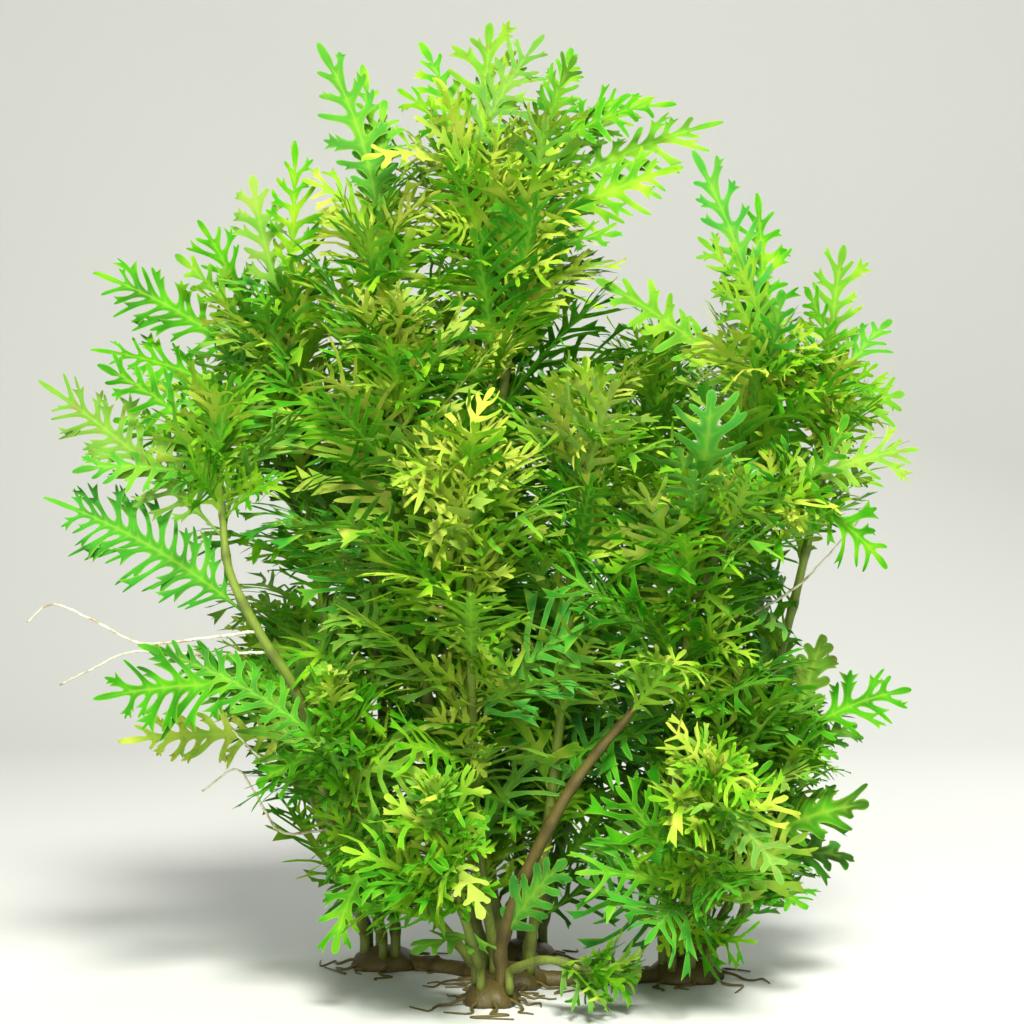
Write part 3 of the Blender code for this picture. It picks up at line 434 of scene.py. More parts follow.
def lengths_along(path):
    """The distance of each point of a path from its start."""
    total = [0.0]
    for start, end in zip(path, path[1:]):
        total.append(total[-1] + (end - start).length)
    return total


def along(path, distance):
    """The point and the direction at a distance from a path's start."""
    total = lengths_along(path)
    for k in range(1, len(path)):
        if total[k] >= distance or k == len(path) - 1:
            run = path[k] - path[k - 1]
            share = (distance - total[k - 1]) / (total[k] - total[k - 1])
            return path[k - 1] + run * share, run.normalized()


def from_tip(path, distance):
    """The point and the direction at a distance from a path's end."""
    return along(path, lengths_along(path)[-1] - distance)


def seen_place(point):
    """Where the viewer sees a point on the plane y = 0, as x and z."""
    share = -EYE.y / (point.y - EYE.y)
    return point.x * share, EYE.z + (point.z - EYE.z) * share


def seen_offset(point, place):
    """How far apart the viewer sees a point and a place (x, z) on the plane y = 0."""
    x, z = seen_place(point)
    return math.hypot(x - place[0], z - place[1])


def nearest(path, place):
    """The distance along a path of its point nearest to a place as the viewer sees both."""
    length = lengths_along(path)[-1]
    tries = [length * k / NEAREST_TRIES for k in range(NEAREST_TRIES + 1)]
    return min(tries, key=lambda d: seen_offset(along(path, d)[0], place))


def stem_radius(stem, share):
    """A stem's radius at a share of its length: thick for most of it and thin at the tip."""
    return STEM_TIP_RADIUS + (STEMS[stem].radius - STEM_TIP_RADIUS) * (1 - share ** 3)


def stem_paths():
    """The smooth path of each stem, from its crown or from the stem that it branches from."""
    paths = {}
    for name, (origin, start, places, *_) in STEMS.items():
        route = [seen(*place) for place in places]
        if origin in CROWNS:
            x, y, _ = CROWNS[origin]
            foot = Vector((x + start[0], y + start[1], CROWN_TOP + GAP))
            route = [foot, foot + UP * FOOT_HEIGHT] + route
        else:
            parent = paths[origin]
            length = lengths_along(parent)[-1]
            point, direction = along(parent, length * start)
            away = route[0] - point
            away = (away - direction * away.dot(direction)).normalized()
            clear = stem_radius(origin, start) + 2 * GAP + STEMS[name].radius * 0.6
            route = [point + away * clear + direction * clear * 0.5] + route
        paths[name] = smooth_path(route, STEM_STEP)
    return paths


@dataclass
class Leaf:
    """A leaf: its midrib is a bowed curve from base to tip. Tint 0 is deep and 1 yellow; for most
    leaves it holds painted light as well as the leaf's own colour, lighter where the leaf stands
    higher.
    """

    base: Vector
    tip: Vector
    face: Vector
    bow: Vector
    half_width: float
    foot: float
    tint: float
    blue: float = 0.0
    web: float = 0.13
    full: float = 1.0
    spacing: float = LOBE_SPACING
    close: bool = False
    teeth: float = 0.25
    shape: str = "linear"
    wave: float = 1.0
    worn: float = 0.0
    seed: str = ""


def painted_light_at(point):
    """How much painted light a leaf's colour gets at a place: half low in the clump and 1 at its
    top.
    """
    return 0.5 + 0.5 * min(1, max(0, (point.z - DIM_HEIGHT) / LIT_RISE))


def outward_from(direction, stem, turn):
    """The way out from a stem, square to its direction, for a turn about it in degrees."""
    across = direction.cross(Vector((0, 1, 0))).normalized()
    return Quaternion(direction, math.radians(STEMS[stem].turn + turn)) @ across


def opened(axis, outward, opening):
    """The direction that opens from an axis towards its outward side."""
    return axis * math.cos(opening) + outward * math.sin(opening)


def rolled(own, heading, face):
    """The face of a leaf after a random roll about its heading."""
    return Quaternion(heading, math.radians(own.uniform(-MOST_ROLL, MOST_ROLL))) @ face


def leaf_on_stem(paths, stem, pair, side, extra=False):
    """The leaf on one side of a stem's pair of leaves, counted from the tip."""
    distance, length, angle = pair_between(pair) if extra else LEAF_PAIRS[pair]
    seed = f"{stem} {pair} {side}" + " extra" * extra
    own = random.Random(seed)
    point, direction = from_tip(paths[stem], distance)
    turn = QUARTER * pair + EXTRA_TURN * extra + 2 * QUARTER * side + own.uniform(-16, 16)
    outward = outward_from(direction, stem, turn)
    opening = math.radians((angle + own.uniform(-8, 8)) * (EXTRA_OPENING if extra else 1.0))
    heading = opened(direction, outward, opening)
    length *= STEMS[stem].vigour * own.uniform(0.86, 1.12)
    tip = point + heading * length
    face = rolled(own, heading, direction)
    young = max(0.0, 1 - distance / YOUNG_STRETCH)
    # Painted light: the colour is made lighter and yellower the higher the leaf's tip stands; the
    # rest is the leaf's own colour by age, stem and chance.
    tint = 0.24 + 0.34 * painted_light_at(tip) + 0.32 * young + own.uniform(-0.26, 0.26)
    tint += STEMS[stem].tint * (0.3 + 0.9 * young)
    shape = own.choice(("linear", "linear", "linear", "spoon", "broad"))
    bow = direction * (LEAF_BOW + own.uniform(-0.09, 0.08))
    return Leaf(point, tip, face, bow, length * LEAF_WIDTH, 0.9, tint,
                blue=own.random() ** 3, web=own.uniform(0.07, 0.15), shape=shape,
                full=own.uniform(0.8, 1.2), spacing=LOBE_SPACING * own.uniform(0.7, 1.1),
                wave=1.0 + 0.6 * young, worn=own.random() ** 4, seed=seed)


def shoot_leaves(paths, stem, pair, side):
    """The young leaves of a short shoot in the corner between a stem and a leaf."""
    distance = LEAF_PAIRS[pair][0] - 2
    own = random.Random(f"{stem} {pair} {side} shoot")
    point, direction = from_tip(paths[stem], distance)
    turn = QUARTER * pair + 2 * QUARTER * side + own.uniform(-25, 25)
    outward = outward_from(direction, stem, turn)
    axis = (direction + outward * own.uniform(0.5, 0.9)).normalized()
    # Painted light: a shoot higher up gets a lighter, yellower colour.
    tint = 0.42 + 0.3 * painted_light_at(point) + own.uniform(-0.2, 0.2) + STEMS[stem].tint
    start = own.uniform(0, 360)
    for k in range(SHOOT_LEAVES):
        aside = Quaternion(axis, math.radians(start + 137 * k)) @ axis.orthogonal().normalized()
        opening = math.radians(own.uniform(18, 34) + 5 * (SHOOT_LEAVES - k))
        heading = opened(axis, aside, opening)
        base = point + axis * SHOOT_REACH * (0.3 + 0.7 * k / SHOOT_LEAVES)
        length = own.uniform(20, 36) * (1 - 0.09 * k) * STEMS[stem].vigour
        yield Leaf(base, base + heading * length, rolled(own, heading, axis),
                   axis * own.uniform(-0.02, 0.16), length * LEAF_WIDTH, 0.5, tint,
                   web=own.uniform(0.09, 0.16), full=own.uniform(0.8, 1.2),
                   spacing=own.uniform(4.2, 5.6), wave=1.3,
                   shape=own.choice(("linear", "spoon")), seed=f"{stem} {pair} {side} shoot {k}")


def rosette_leaves(paths, row):
    """The thin curling young leaves that crowd round the tip of a stem."""
    stem, middle, count, shortest, longest, widest, tint = row
    own = random.Random(f"{stem} rosette")
    for k in range(count):
        point, axis = from_tip(paths[stem], middle * own.uniform(0.5, 1.5))
        aside = Quaternion(axis, math.radians(137.5 * k)) @ axis.orthogonal().normalized()
        heading = opened(axis, aside, math.radians(widest) * math.sqrt((k + 0.5) / count))
        length = own.uniform(shortest, longest)
        face = (axis * 0.3 + Vector((0, -1, 0.2)) + aside * 0.2).normalized()
        yield Leaf(point, point + heading * length, rolled(own, heading, face),
                   axis * own.uniform(-0.05, 0.22), length * 0.30, 0.5,
                   tint + own.uniform(-0.22, 0.15), web=0.05,
                   full=own.uniform(0.7, 1.0), spacing=own.uniform(4.6, 6.0), wave=2.0,
                   teeth=0.3, seed=f"{stem} rosette {k}")


def pair_between(pair):
    """The leaves between two pairs, which only the finest form of the plant has."""
    return tuple((a + b) / 2 for a, b in zip(LEAF_PAIRS[pair], LEAF_PAIRS[pair + 1]))


def inside_clump(leaf):
    """Whether a leaf's tip is within the clump's outline, as the viewer sees it."""
    x, z = seen_place(leaf.tip)
    heights, least, most = zip(*CLUMP_EDGE)
    if z > heights[-1]:
        return False
    return np.interp(z, heights, least) <= x <= np.interp(z, heights, most)


def held_inside(leaf):
    """The leaf, shortened until it stays within the clump's outline, or None."""
    full = leaf.tip - leaf.base
    for share in HELD_SHARES:
        leaf.tip = leaf.base + full * share
        if inside_clump(leaf):
            leaf.half_width *= share
            return leaf
    return None


def bare_places(paths):
    """Points along the bare stretches of stems: where the viewer sees them, and their depth."""
    places = []
    for stem, (first, last) in BARE_STRETCHES.items():
        total = lengths_along(paths[stem])[-1]
        for k in range(int((last - first) / BARE_STEP) + 1):
            point = along(paths[stem], total - first - BARE_STEP * k)[0]
            places.append((*seen_place(point), point.y))
    return places


def in_bare_stretch(stem, distance):
    """Whether a distance from a stem's tip lies where the stem is bare."""
    first, last = BARE_STRETCHES.get(stem, (0, 0))
    return first < distance < last


def hides(leaf, places):
    """Whether a leaf lies in front of a bare stretch."""
    reach = BARE_VIEW + BARE_VIEW_PER_WIDTH * leaf.half_width
    for share in LEAF_SHARES:
        point = leaf.base.lerp(leaf.tip, share)
        x, z = seen_place(point)
        if any(point.y < depth and math.hypot(x - px, z - pz) < reach for px, pz, depth in places):
            return True
    return False


def seen_leaf(paths, table, name, nudge=0.0):
    """A leaf whose tip is seen, from the middle of its stem."""
    stem, foot, (x, z, depth), half_width, bow, tilt = table[name]
    point = along(paths[stem], nearest(paths[stem], foot))[0]
    tip = seen(x, z, depth + nudge)
    angle = math.radians(tilt)
    face = Vector((0, -math.cos(angle), math.sin(angle)))
    own = random.Random(name)
    # Painted light: a seen leaf higher up gets a lighter, yellower colour.
    tint = 0.26 + 0.24 * painted_light_at(tip) + own.uniform(-0.1, 0.1)
    leaf = Leaf(point, tip, face, UP * bow, half_width, 1.0, tint, blue=own.random() ** 4,
                web=own.uniform(0.1, 0.16), full=own.uniform(1.0, 1.3), teeth=0.4, wave=0.8,
                close=True, spacing=LOBE_SPACING * own.uniform(0.85, 1.2),
                worn=own.random() ** 4, seed=name)
    for key, value in LOOKS.get(name, {}).items():
        setattr(leaf, key, value)
    return leaf


def lobe_length(share):
    """The length of a lobe as a share of the longest, at a share of the way up the blade."""
    return math.sin(math.pi * (0.2 + 0.7 * share)) ** 0.8


def lobe_slope(share):
    """How far forward a lobe leans for each unit to the side, more so towards the leaf's tip."""
    return math.tan(math.radians(24 + 20 * share))


@dataclass
class Cage:
    """The cage of many leaves: points, faces, edges that stay crisp and values at each point."""

    points: list = field(default_factory=list)
    faces: list = field(default_factory=list)
    crisp: set = field(default_factory=set)
    values: dict = field(default_factory=lambda: {k: [] for k in
                                                  ("vein", "rim", "tint", "blue", "worn")})


class Flat:
    """A finely lobed leaf laid out flat, as spots and the panels between them.

    x runs up the midrib and y to the side, in millimetres.
    """

    def __init__(self, leaf):
        self.leaf = leaf
        self.own = random.Random(leaf.seed)
        self.spots = []
        self.panels = []
        self.length = (leaf.tip - leaf.base).length
        self.first, self.last = PETIOLE_SHARE * self.length, LAST_LOBE * self.length
        self.pairs = 2
        if self.length > SHORTEST_LOBED:
            self.pairs = max(2, round((self.last - self.first) / leaf.spacing))
        self.step = (self.last - self.first) / self.pairs
        self.foot = self.step * LOBE_FOOT * leaf.full
        self.keel = min(0.5, 0.2 + self.length * 0.005)
        self.stalk_rows = ((0, 1.0), (self.first * 0.55, 0.7))
        self.rows, self.shape = PLAIN_ROWS, PLAIN_SHAPES[leaf.shape]
        if leaf.close:
            self.rows, self.shape = LOBE_ROWS, LOBE_SHAPES[leaf.shape]
        elif self.length < SMALL_LEAF:
            self.rows, self.shape = SHORT_ROWS, SHORT_SHAPE
        self.add_midrib()
        for s in (-1, 1):
            before = self.add_stalk_side(s)
            for k in range(self.pairs):
                before = self.add_lobe(s, k, before)
            self.add_end(s, before)

    def spot(self, x, y, lift, thick, vein):
        """A point, with the height of the blade's middle surface and its half thickness there."""
        self.spots.append((x, y, lift, thick, vein))
        return len(self.spots) - 1

    def gutter(self, y):
        """How high the blade rises beside its midrib before it droops towards its rim."""
        return 0.22 * abs(y) - 0.30 * y * y / self.leaf.half_width

    def add_midrib(self):
        """The spots along the middle: the stalk's, two for each pair of lobes, and the end's."""
        keel = self.keel
        self.stalk = [self.spot(x, 0, 0, self.leaf.foot * k, 0.8) for x, k in self.stalk_rows]
        self.roots, self.middles = [], [self.spot(self.first, 0, 0, keel, 1.0)]
        for k in range(self.pairs):
            thick = keel * (1 - 0.5 * k / self.pairs)
            for row, along_step in ((self.roots, k + 0.5), (self.middles, k + 1)):
                x = self.first + self.step * along_step
                row.append(self.spot(x, 0, -0.1 * keel, thick, 1.0))
        self.ribs = []
        for share in TERMINAL_ROWS:
            x = self.last + (self.length - self.last) * share
            self.ribs.append(self.spot(x, 0, 0, keel * 0.5 * (1.1 - share), 0.9 - 0.4 * share))
        self.tip = self.spot(self.length, 0, self.own.uniform(-1.5, 0.5), 0, 0.3)

    def add_stalk_side(self, s):
        """One side of the stalk. It gives back the rim's last spot there."""
        edge = [self.spot(x, s * self.leaf.foot * k, 0, 0, 0.6) for x, k in self.stalk_rows]
        shoulder = max(self.leaf.foot * 0.6, 0.25 * self.leaf.web * self.leaf.half_width)
        last = self.spot(self.first * 1.02, s * shoulder, 0, 0, 0.2)
        self.panels += [(self.stalk[0], self.stalk[1], edge[1], edge[0]),
                        (self.stalk[1], self.middles[0], last, edge[1])]
        return last

    def add_lobe(self, s, k, before):
        """One lobe, joined to the rim's spot before it. It gives back the front of its foot."""
        leaf, own, keel = self.leaf, self.own, self.keel
        share = (k + 0.5) / self.pairs
        size = lobe_length(share)
        lean = math.atan(lobe_slope(share)) + own.uniform(-0.2, 0.2)
        half = self.foot * (0.75 + 0.25 * size) * own.uniform(0.85, 1.15)
        start = max(leaf.web * leaf.half_width * size, 1.2 * half * math.sin(lean) + 0.35)
        reach = max(leaf.half_width * size * own.uniform(0.7, 1.12), start * 1.6)
        x = self.first + self.step * (k + 0.5 + own.uniform(-0.12, 0.12)) + start * math.tan(lean)
        y = start
        bending = own.uniform(-0.4, 0.9) * leaf.wave
        curl = own.uniform(-0.45, 0.25) * leaf.wave
        twist = own.uniform(-0.5, 0.5) * leaf.wave
        total = (reach - start) / math.cos(lean)
        across, forward = math.cos(lean), math.sin(lean)
        centre = self.spot(x, s * y, self.gutter(y), 0.5 * keel, 0.8)
        back = self.spot(x - across * half, s * (y + forward * half), self.gutter(y), 0, 0.0)
        front = self.spot(x + across * half, s * (y - forward * half), self.gutter(y), 0, 0.0)
        self.panels += [(self.middles[k], back, before),
                        (self.middles[k], self.roots[k], centre, back),
                        (self.roots[k], self.middles[k + 1], front, centre)]
        foot_front = front
        passed = 0.0
        for row, (v, part) in enumerate(zip((*self.rows, 1.0), (*self.shape, 0.0))):
            angle = lean + bending * (v - 0.45)
            x += (v - passed) * total * math.sin(angle)
            y += (v - passed) * total * math.cos(angle)
            passed = v
            lift = self.gutter(y) + curl * total * v * v
            across, forward = math.cos(angle), math.sin(angle)
            if part == 0.0:
                end = self.spot(x, s * y, lift, 0, 0.2)
                self.panels += [(back, centre, end), (centre, front, end)]
                break
            h = half * part * own.uniform(0.88, 1.12)
            side_lift = twist * h * v
            m = self.spot(x, s * y, lift, keel * (0.5 - 0.3 * v), 0.75 - 0.35 * v)
            b = self.spot(x - across * h, s * (y + forward * h), lift - side_lift, 0, 0.0)
            f = self.spot(x + across * h, s * (y - forward * h), lift + side_lift, 0, 0.0)
            plain = total < SHORTEST_TOOTHED or row not in TOOTHED_ROWS
            for turn, rim_before, rim_now in ((-1, back, b), (1, front, f)):
                if plain or own.random() > leaf.teeth:
                    self.panels.append((centre, rim_before, rim_now, m))
                    continue
                out = total * own.uniform(0.16, 0.34)
                tooth_x = x + turn * across * (h + out * 0.7) + forward * out * 0.5
                tooth_y = y - turn * forward * (h + out * 0.7) + across * out * 0.5
                tooth_lift = lift + own.uniform(-0.25, 0.1) * out
                tooth = self.spot(tooth_x, s * tooth_y, tooth_lift, 0, 0.0)
                self.panels += [(centre, rim_before, tooth, m), (m, tooth, rim_now)]
            back, centre, front = b, m, f
        return foot_front

    def add_end(self, s, before):
        """One side of the blade's end, beyond its last pair of lobes."""
        at = self.middles[self.pairs]
        for share, part, rib in zip(TERMINAL_ROWS, TERMINAL_SHAPE, self.ribs):
            y = max(self.foot * 1.1 * part, 0.3) * self.own.uniform(0.85, 1.15)
            x = self.last + (self.length - self.last) * share + 0.3 * y
            point = self.spot(x, s * y, self.gutter(y), 0, 0.0)
            self.panels.append((at, rib, point, before))
            at, before = rib, point
        self.panels.append((at, self.tip, before))


def bent(leaf, flat):
    """The upper and the under points of a flat leaf, bent along its midrib and twisted."""
    own = random.Random(leaf.seed + " bend")
    x, y, lift, thick, _ = np.array(flat.spots).T
    share = x / flat.length
    ripple = 0.35 * np.sin(x * own.uniform(0.12, 0.22) + own.uniform(0, 6)) * np.abs(y) / 8
    lift = lift + ripple * leaf.wave
    run = np.array(leaf.tip - leaf.base)
    bow = np.array(leaf.bow)
    up = bow - run * bow.dot(run) / run.dot(run)
    rise = np.linalg.norm(up)
    bend = up / rise * np.linalg.norm(bow) * flat.length if rise > 1e-6 else up
    held = np.minimum(share, 1.0)[:, None]
    point = np.array(leaf.base) + run * share[:, None] + bend * 4 * held * (1 - held)
    tangent = run + bend * 4 * (1 - 2 * held)
    tangent /= np.linalg.norm(tangent, axis=1)[:, None]
    side = np.cross(tangent, np.array(leaf.face))
    side /= np.linalg.norm(side, axis=1)[:, None]
    normal = np.cross(side, tangent)
    turn = (own.uniform(-0.3, 0.3) * leaf.wave * np.clip(share, 0, 1) ** 1.5)[:, None]
    side, normal = (side * np.cos(turn) + normal * np.sin(turn),
                    normal * np.cos(turn) - side * np.sin(turn))
    middle = point + side * y[:, None] + normal * lift[:, None]
    return middle + normal * thick[:, None], middle - normal * thick[:, None]


def add_leaf(cage, leaf):
    """Add a leaf to a cage as a closed thin solid, with its upper and under sides."""
    flat = Flat(leaf)
    tops, unders = bent(leaf, flat)
    x, y, _, thick, vein = np.array(flat.spots).T
    start = len(cage.points)
    rim = thick == 0
    below = np.where(rim, np.arange(len(x)), 0)
    extra = np.flatnonzero(~rim)
    below[extra] = len(x) + np.arange(len(extra))
    cage.points.extend(np.vstack((tops, unders[extra])).tolist())
    order = np.concatenate((np.arange(len(x)), extra))
    cage.values["vein"].extend(vein[order].tolist())
    # The rim value also carries the painted highlight along the lobes' edges.
    cage.values["rim"].extend(rim[order].astype(float).tolist())
    for key in ("tint", "blue", "worn"):
        cage.values[key].extend([getattr(leaf, key)] * len(order))

    rim_edges = Counter()
    for panel in flat.panels:
        px, py = x[list(panel)], y[list(panel)]
        area = float(np.dot(px, np.roll(py, -1)) - np.dot(py, np.roll(px, -1)))
        top = panel if area < 0 else panel[::-1]
        cage.faces.append([start + i for i in top])
        cage.faces.append([start + int(below[i]) for i in reversed(top)])
        rim_edges.update((min(a, b), max(a, b)) for a, b in zip(panel, panel[1:] + panel[:1])
                         if rim[a] and rim[b])
    on_stalk = x < PETIOLE_SHARE * flat.length * 0.9
    for (a, b), count in rim_edges.items():
        if count == 1 and not (on_stalk[a] and on_stalk[b]):
            cage.crisp.add((start + a, start + b))
    left, top, right = sorted(np.flatnonzero(x == 0).tolist(), key=lambda i: y[i])
    cage.faces.append([start + i for i in (top, left, int(below[top]), right)])


def placed(name, mesh, surface):
    """A mesh as a smooth object of the scene."""
    mesh.shade_smooth()
    mesh.materials.append(surface)
    piece = bpy.data.objects.new(name, mesh)
    bpy.context.scene.collection.objects.link(piece)
    return piece


def cage_object(name, cage, surface, level=1):
    """A cage as a smooth object, with its values as attributes for the material."""
    mesh = bpy.data.meshes.new(name)
    points = np.array(cage.points)
    points[:, 2] = np.maximum(points[:, 2], 0.5)
    mesh.from_pydata((points * MM).tolist(), [], cage.faces)
    mesh.update()
    for key, values in cage.values.items():
        mesh.attributes.new(key, "FLOAT", "POINT").data.foreach_set("value", values)
    marks = [(min(e.vertices), max(e.vertices)) in cage.crisp for e in mesh.edges]
    crease = mesh.attributes.new("crease_edge", "FLOAT", "EDGE")
    crease.data.foreach_set("value", [float(m) for m in marks])
    piece = placed(name, mesh, surface)
    mesh.attributes.new("sharp_edge", "BOOLEAN", "EDGE").data.foreach_set("value", marks)
    if level:
        smooth = piece.modifiers.new("smooth", "SUBSURF")
        smooth.levels = level
        smooth.render_levels = level
    return piece


def rings_object(name, path, radii, surface, sides=10, values=None, ridge=0.0):
    """A tube of rings along a path, closed at both ends."""
    count = len(path)
    spots = np.array([list(p) for p in path])
    tangent = np.gradient(spots, axis=0)
    tangent /= np.linalg.norm(tangent, axis=1)[:, None]
    start = np.array([0.0, 1.0, 0.0]) if abs(tangent[0][1]) < 0.9 else np.array([1.0, 0, 0])
    across = [start - tangent[0] * start.dot(tangent[0])]
    for t in tangent[1:]:
        moved = across[-1] - t * across[-1].dot(t)
        across.append(moved / np.linalg.norm(moved))
    across[0] = across[0] / np.linalg.norm(across[0])
    across = np.array(across)
    other = np.cross(tangent, across)
    points, faces = [], []
    for k in range(count):
        for j in range(sides):
            angle = 2 * math.pi * j / sides
            radius = radii[k] * (1 + ridge * math.cos(4 * angle))
            points.append(spots[k] + (across[k] * math.cos(angle)
                                      + other[k] * math.sin(angle)) * radius)
    for k in range(count - 1):
        for j in range(sides):
            after = (j + 1) % sides
            faces.append([k * sides + j, k * sides + after, (k + 1) * sides + after,
                          (k + 1) * sides + j])
    faces.append(list(range(sides))[::-1])
    faces.append([(count - 1) * sides + j for j in range(sides)])
    mesh = bpy.data.meshes.new(name)
    points = np.array(points)
    points[:, 2] = np.maximum(points[:, 2], 0.0)
    mesh.from_pydata((points * MM).tolist(), [], faces)
    mesh.update()
    for key, row in (values or {}).items():
        spread = np.repeat(np.array(row, dtype=float), sides)
        mesh.attributes.new(key, "FLOAT", "POINT").data.foreach_set("value", spread)
    return placed(name, mesh, surface)


class Nodes:
    """A short way to wire a material."""

    def __init__(self, name):
        self.surface = bpy.data.materials.new(name)
        self.surface.use_nodes = True
        self.tree = self.surface.node_tree
        self.shader = self.tree.nodes["Principled BSDF"]
        self.out = self.tree.nodes["Material Output"]
        self.place = self.add("ShaderNodeTexCoord").outputs["Object"]

    def add(self, kind, **settings):
        node = self.tree.nodes.new(kind)
        for key, value in settings.items():
            setattr(node, key, value)
        return node

    def link(self, source, target):
        self.tree.links.new(source, target)

    def put(self, value, socket):
        if isinstance(value, bpy.types.NodeSocket):
            self.link(value, socket)
        else:
            socket.default_value = value

    def value(self, name):
        return self.add("ShaderNodeAttribute", attribute_name=name).outputs["Fac"]

    def math(self, operation, a, b, clamp=False):
        node = self.add("ShaderNodeMath", operation=operation, use_clamp=clamp)
        self.put(a, node.inputs[0])
        self.put(b, node.inputs[1])
        return node.outputs[0]

    def times(self, a, b):
        return self.math("MULTIPLY", a, b)

    def plus(self, a, b):
        return self.math("ADD", a, b)

    def mix(self, share, a, b):
        node = self.add("ShaderNodeMix", data_type="RGBA")
        self.put(share, node.inputs["Factor"])
        self.put(a, node.inputs["A"])
        self.put(b, node.inputs["B"])
        return node.outputs["Result"]

    def noise(self, scale, detail=3.0):
        node = self.add("ShaderNodeTexNoise")
        node.inputs["Scale"].default_value = scale
        node.inputs["Detail"].default_value = detail
        node.inputs["Roughness"].default_value = NOISE_ROUGHNESS
        self.link(self.place, node.inputs["Vector"])
        return node.outputs["Fac"]

    def ramp(self, share, stops):
        node = self.add("ShaderNodeValToRGB")
        ramp = node.color_ramp
        while len(ramp.elements) < len(stops):
            ramp.elements.new(0.5)
        for element, (position, colour) in zip(ramp.elements, stops):
            element.position = position
            element.color = (*colour, 1)
        self.put(share, node.inputs["Fac"])
        return node.outputs["Color"]

    def bump(self, height, strength, distance):
        node = self.add("ShaderNodeBump")
        node.inputs["Strength"].default_value = strength
        node.inputs["Distance"].default_value = distance
        self.put(height, node.inputs["Height"])
        self.link(node.outputs["Normal"], self.shader.inputs["Normal"])


def leaf_surface():
    """A thin green leaf: pale veins, mottling, worn spots, a painted highlight along the rims, and
    light through it.
    """
    n = Nodes("leaf")
    patches = n.noise(70.0, 1.0)
    # The tint value holds the leaf's own colour and, for most leaves, painted light; the ramp runs
    # from deep dark green to a light yellow.
    tint = n.plus(n.value("tint"), n.times(n.math("SUBTRACT", patches, 0.5), 1.1))
    green = n.ramp(tint, ((0.0, (0.006, 0.105, 0.002)), (0.25, (0.020, 0.240, 0.003)),
                          (0.5, (0.066, 0.410, 0.006)), (0.75, (0.270, 0.545, 0.014)),
                          (1.0, (0.590, 0.670, 0.085))))
    green = n.mix(n.times(n.value("blue"), 0.5), green, (0.050, 0.340, 0.085, 1))
    # Painted highlight: the rims of the lobes are mixed towards a pale yellow-green.
    rim = n.math("POWER", n.value("rim"), 4.0)
    green = n.mix(n.times(rim, 0.42), green, (0.52, 0.70, 0.08, 1))
    vein = n.math("POWER", n.value("vein"), 4.0)
    green = n.mix(n.math("MULTIPLY", vein, 0.50, clamp=True), green, (0.42, 0.68, 0.06, 1))
    specks = n.plus(n.noise(330.0, 1.0), n.times(n.value("worn"), 0.14))
    patch = n.math("GREATER_THAN", specks, 0.76)
    green = n.mix(n.times(patch, 0.45), green, (0.26, 0.19, 0.04, 1))
    green = n.mix(n.times(n.value("worn"), 0.25), green, (0.62, 0.58, 0.16, 1))
    n.link(green, n.shader.inputs["Base Color"])
    n.link(n.plus(0.36, n.times(patches, 0.25)), n.shader.inputs["Roughness"])
    n.shader.inputs["Specular IOR Level"].default_value = 0.06
    through = n.add("ShaderNodeBsdfTranslucent")
    n.link(n.mix(0.25, green, (0.45, 0.80, 0.04, 1)), through.inputs["Color"])
    both = n.add("ShaderNodeMixShader")
    both.inputs[0].default_value = 0.40
    n.link(n.shader.outputs[0], both.inputs[1])
    n.link(through.outputs[0], both.inputs[2])
    n.link(both.outputs[0], n.out.inputs["Surface"])
    return n.surface


def stem_surface(name, low, high):
    """A fleshy stem with fine lengthwise streaks and darker joints."""
    n = Nodes(name)
    share = n.plus(n.value("along"), n.times(n.math("SUBTRACT", n.noise(90.0), 0.5), 0.5))
    colour = n.mix(n.math("MULTIPLY", share, 1.0, clamp=True), (*low, 1), (*high, 1))
    streaks = n.add("ShaderNodeTexNoise")
    stretch = n.add("ShaderNodeMapping")
    stretch.inputs["Scale"].default_value = (1.0, 1.0, 0.06)
    n.link(n.place, stretch.inputs["Vector"])
    n.link(stretch.outputs["Vector"], streaks.inputs["Vector"])
    streaks.inputs["Scale"].default_value = 1400.0
    colour = n.mix(n.times(streaks.outputs["Fac"], 0.5), colour,
                   (high[0] * 1.8, high[1] * 1.6, high[2] * 1.6, 1))
    colour = n.mix(n.times(n.value("joint"), 0.55), colour,
                   (low[0] * 0.55, low[1] * 0.5, low[2] * 0.5, 1))
    n.link(colour, n.shader.inputs["Base Color"])
    n.shader.inputs["Roughness"].default_value = 0.5
    n.shader.inputs["Specular IOR Level"].default_value = 0.35
    n.bump(n.plus(streaks.outputs["Fac"], n.noise(500.0)), 0.5, 0.0004)
    return n.surface


def root_surface():
    """A thin whitish root with brown specks."""
    n = Nodes("root")
    colour = n.ramp(n.noise(260.0, 5.0), ((0.35, (0.30, 0.24, 0.13)), (0.5, (0.58, 0.55, 0.40)),
                                          (0.7, (0.74, 0.73, 0.60))))
    n.link(colour, n.shader.inputs["Base Color"])
    n.shader.inputs["Roughness"].default_value = 0.6
    n.bump(n.noise(900.0), 0.4, 0.0002)
    return n.surface


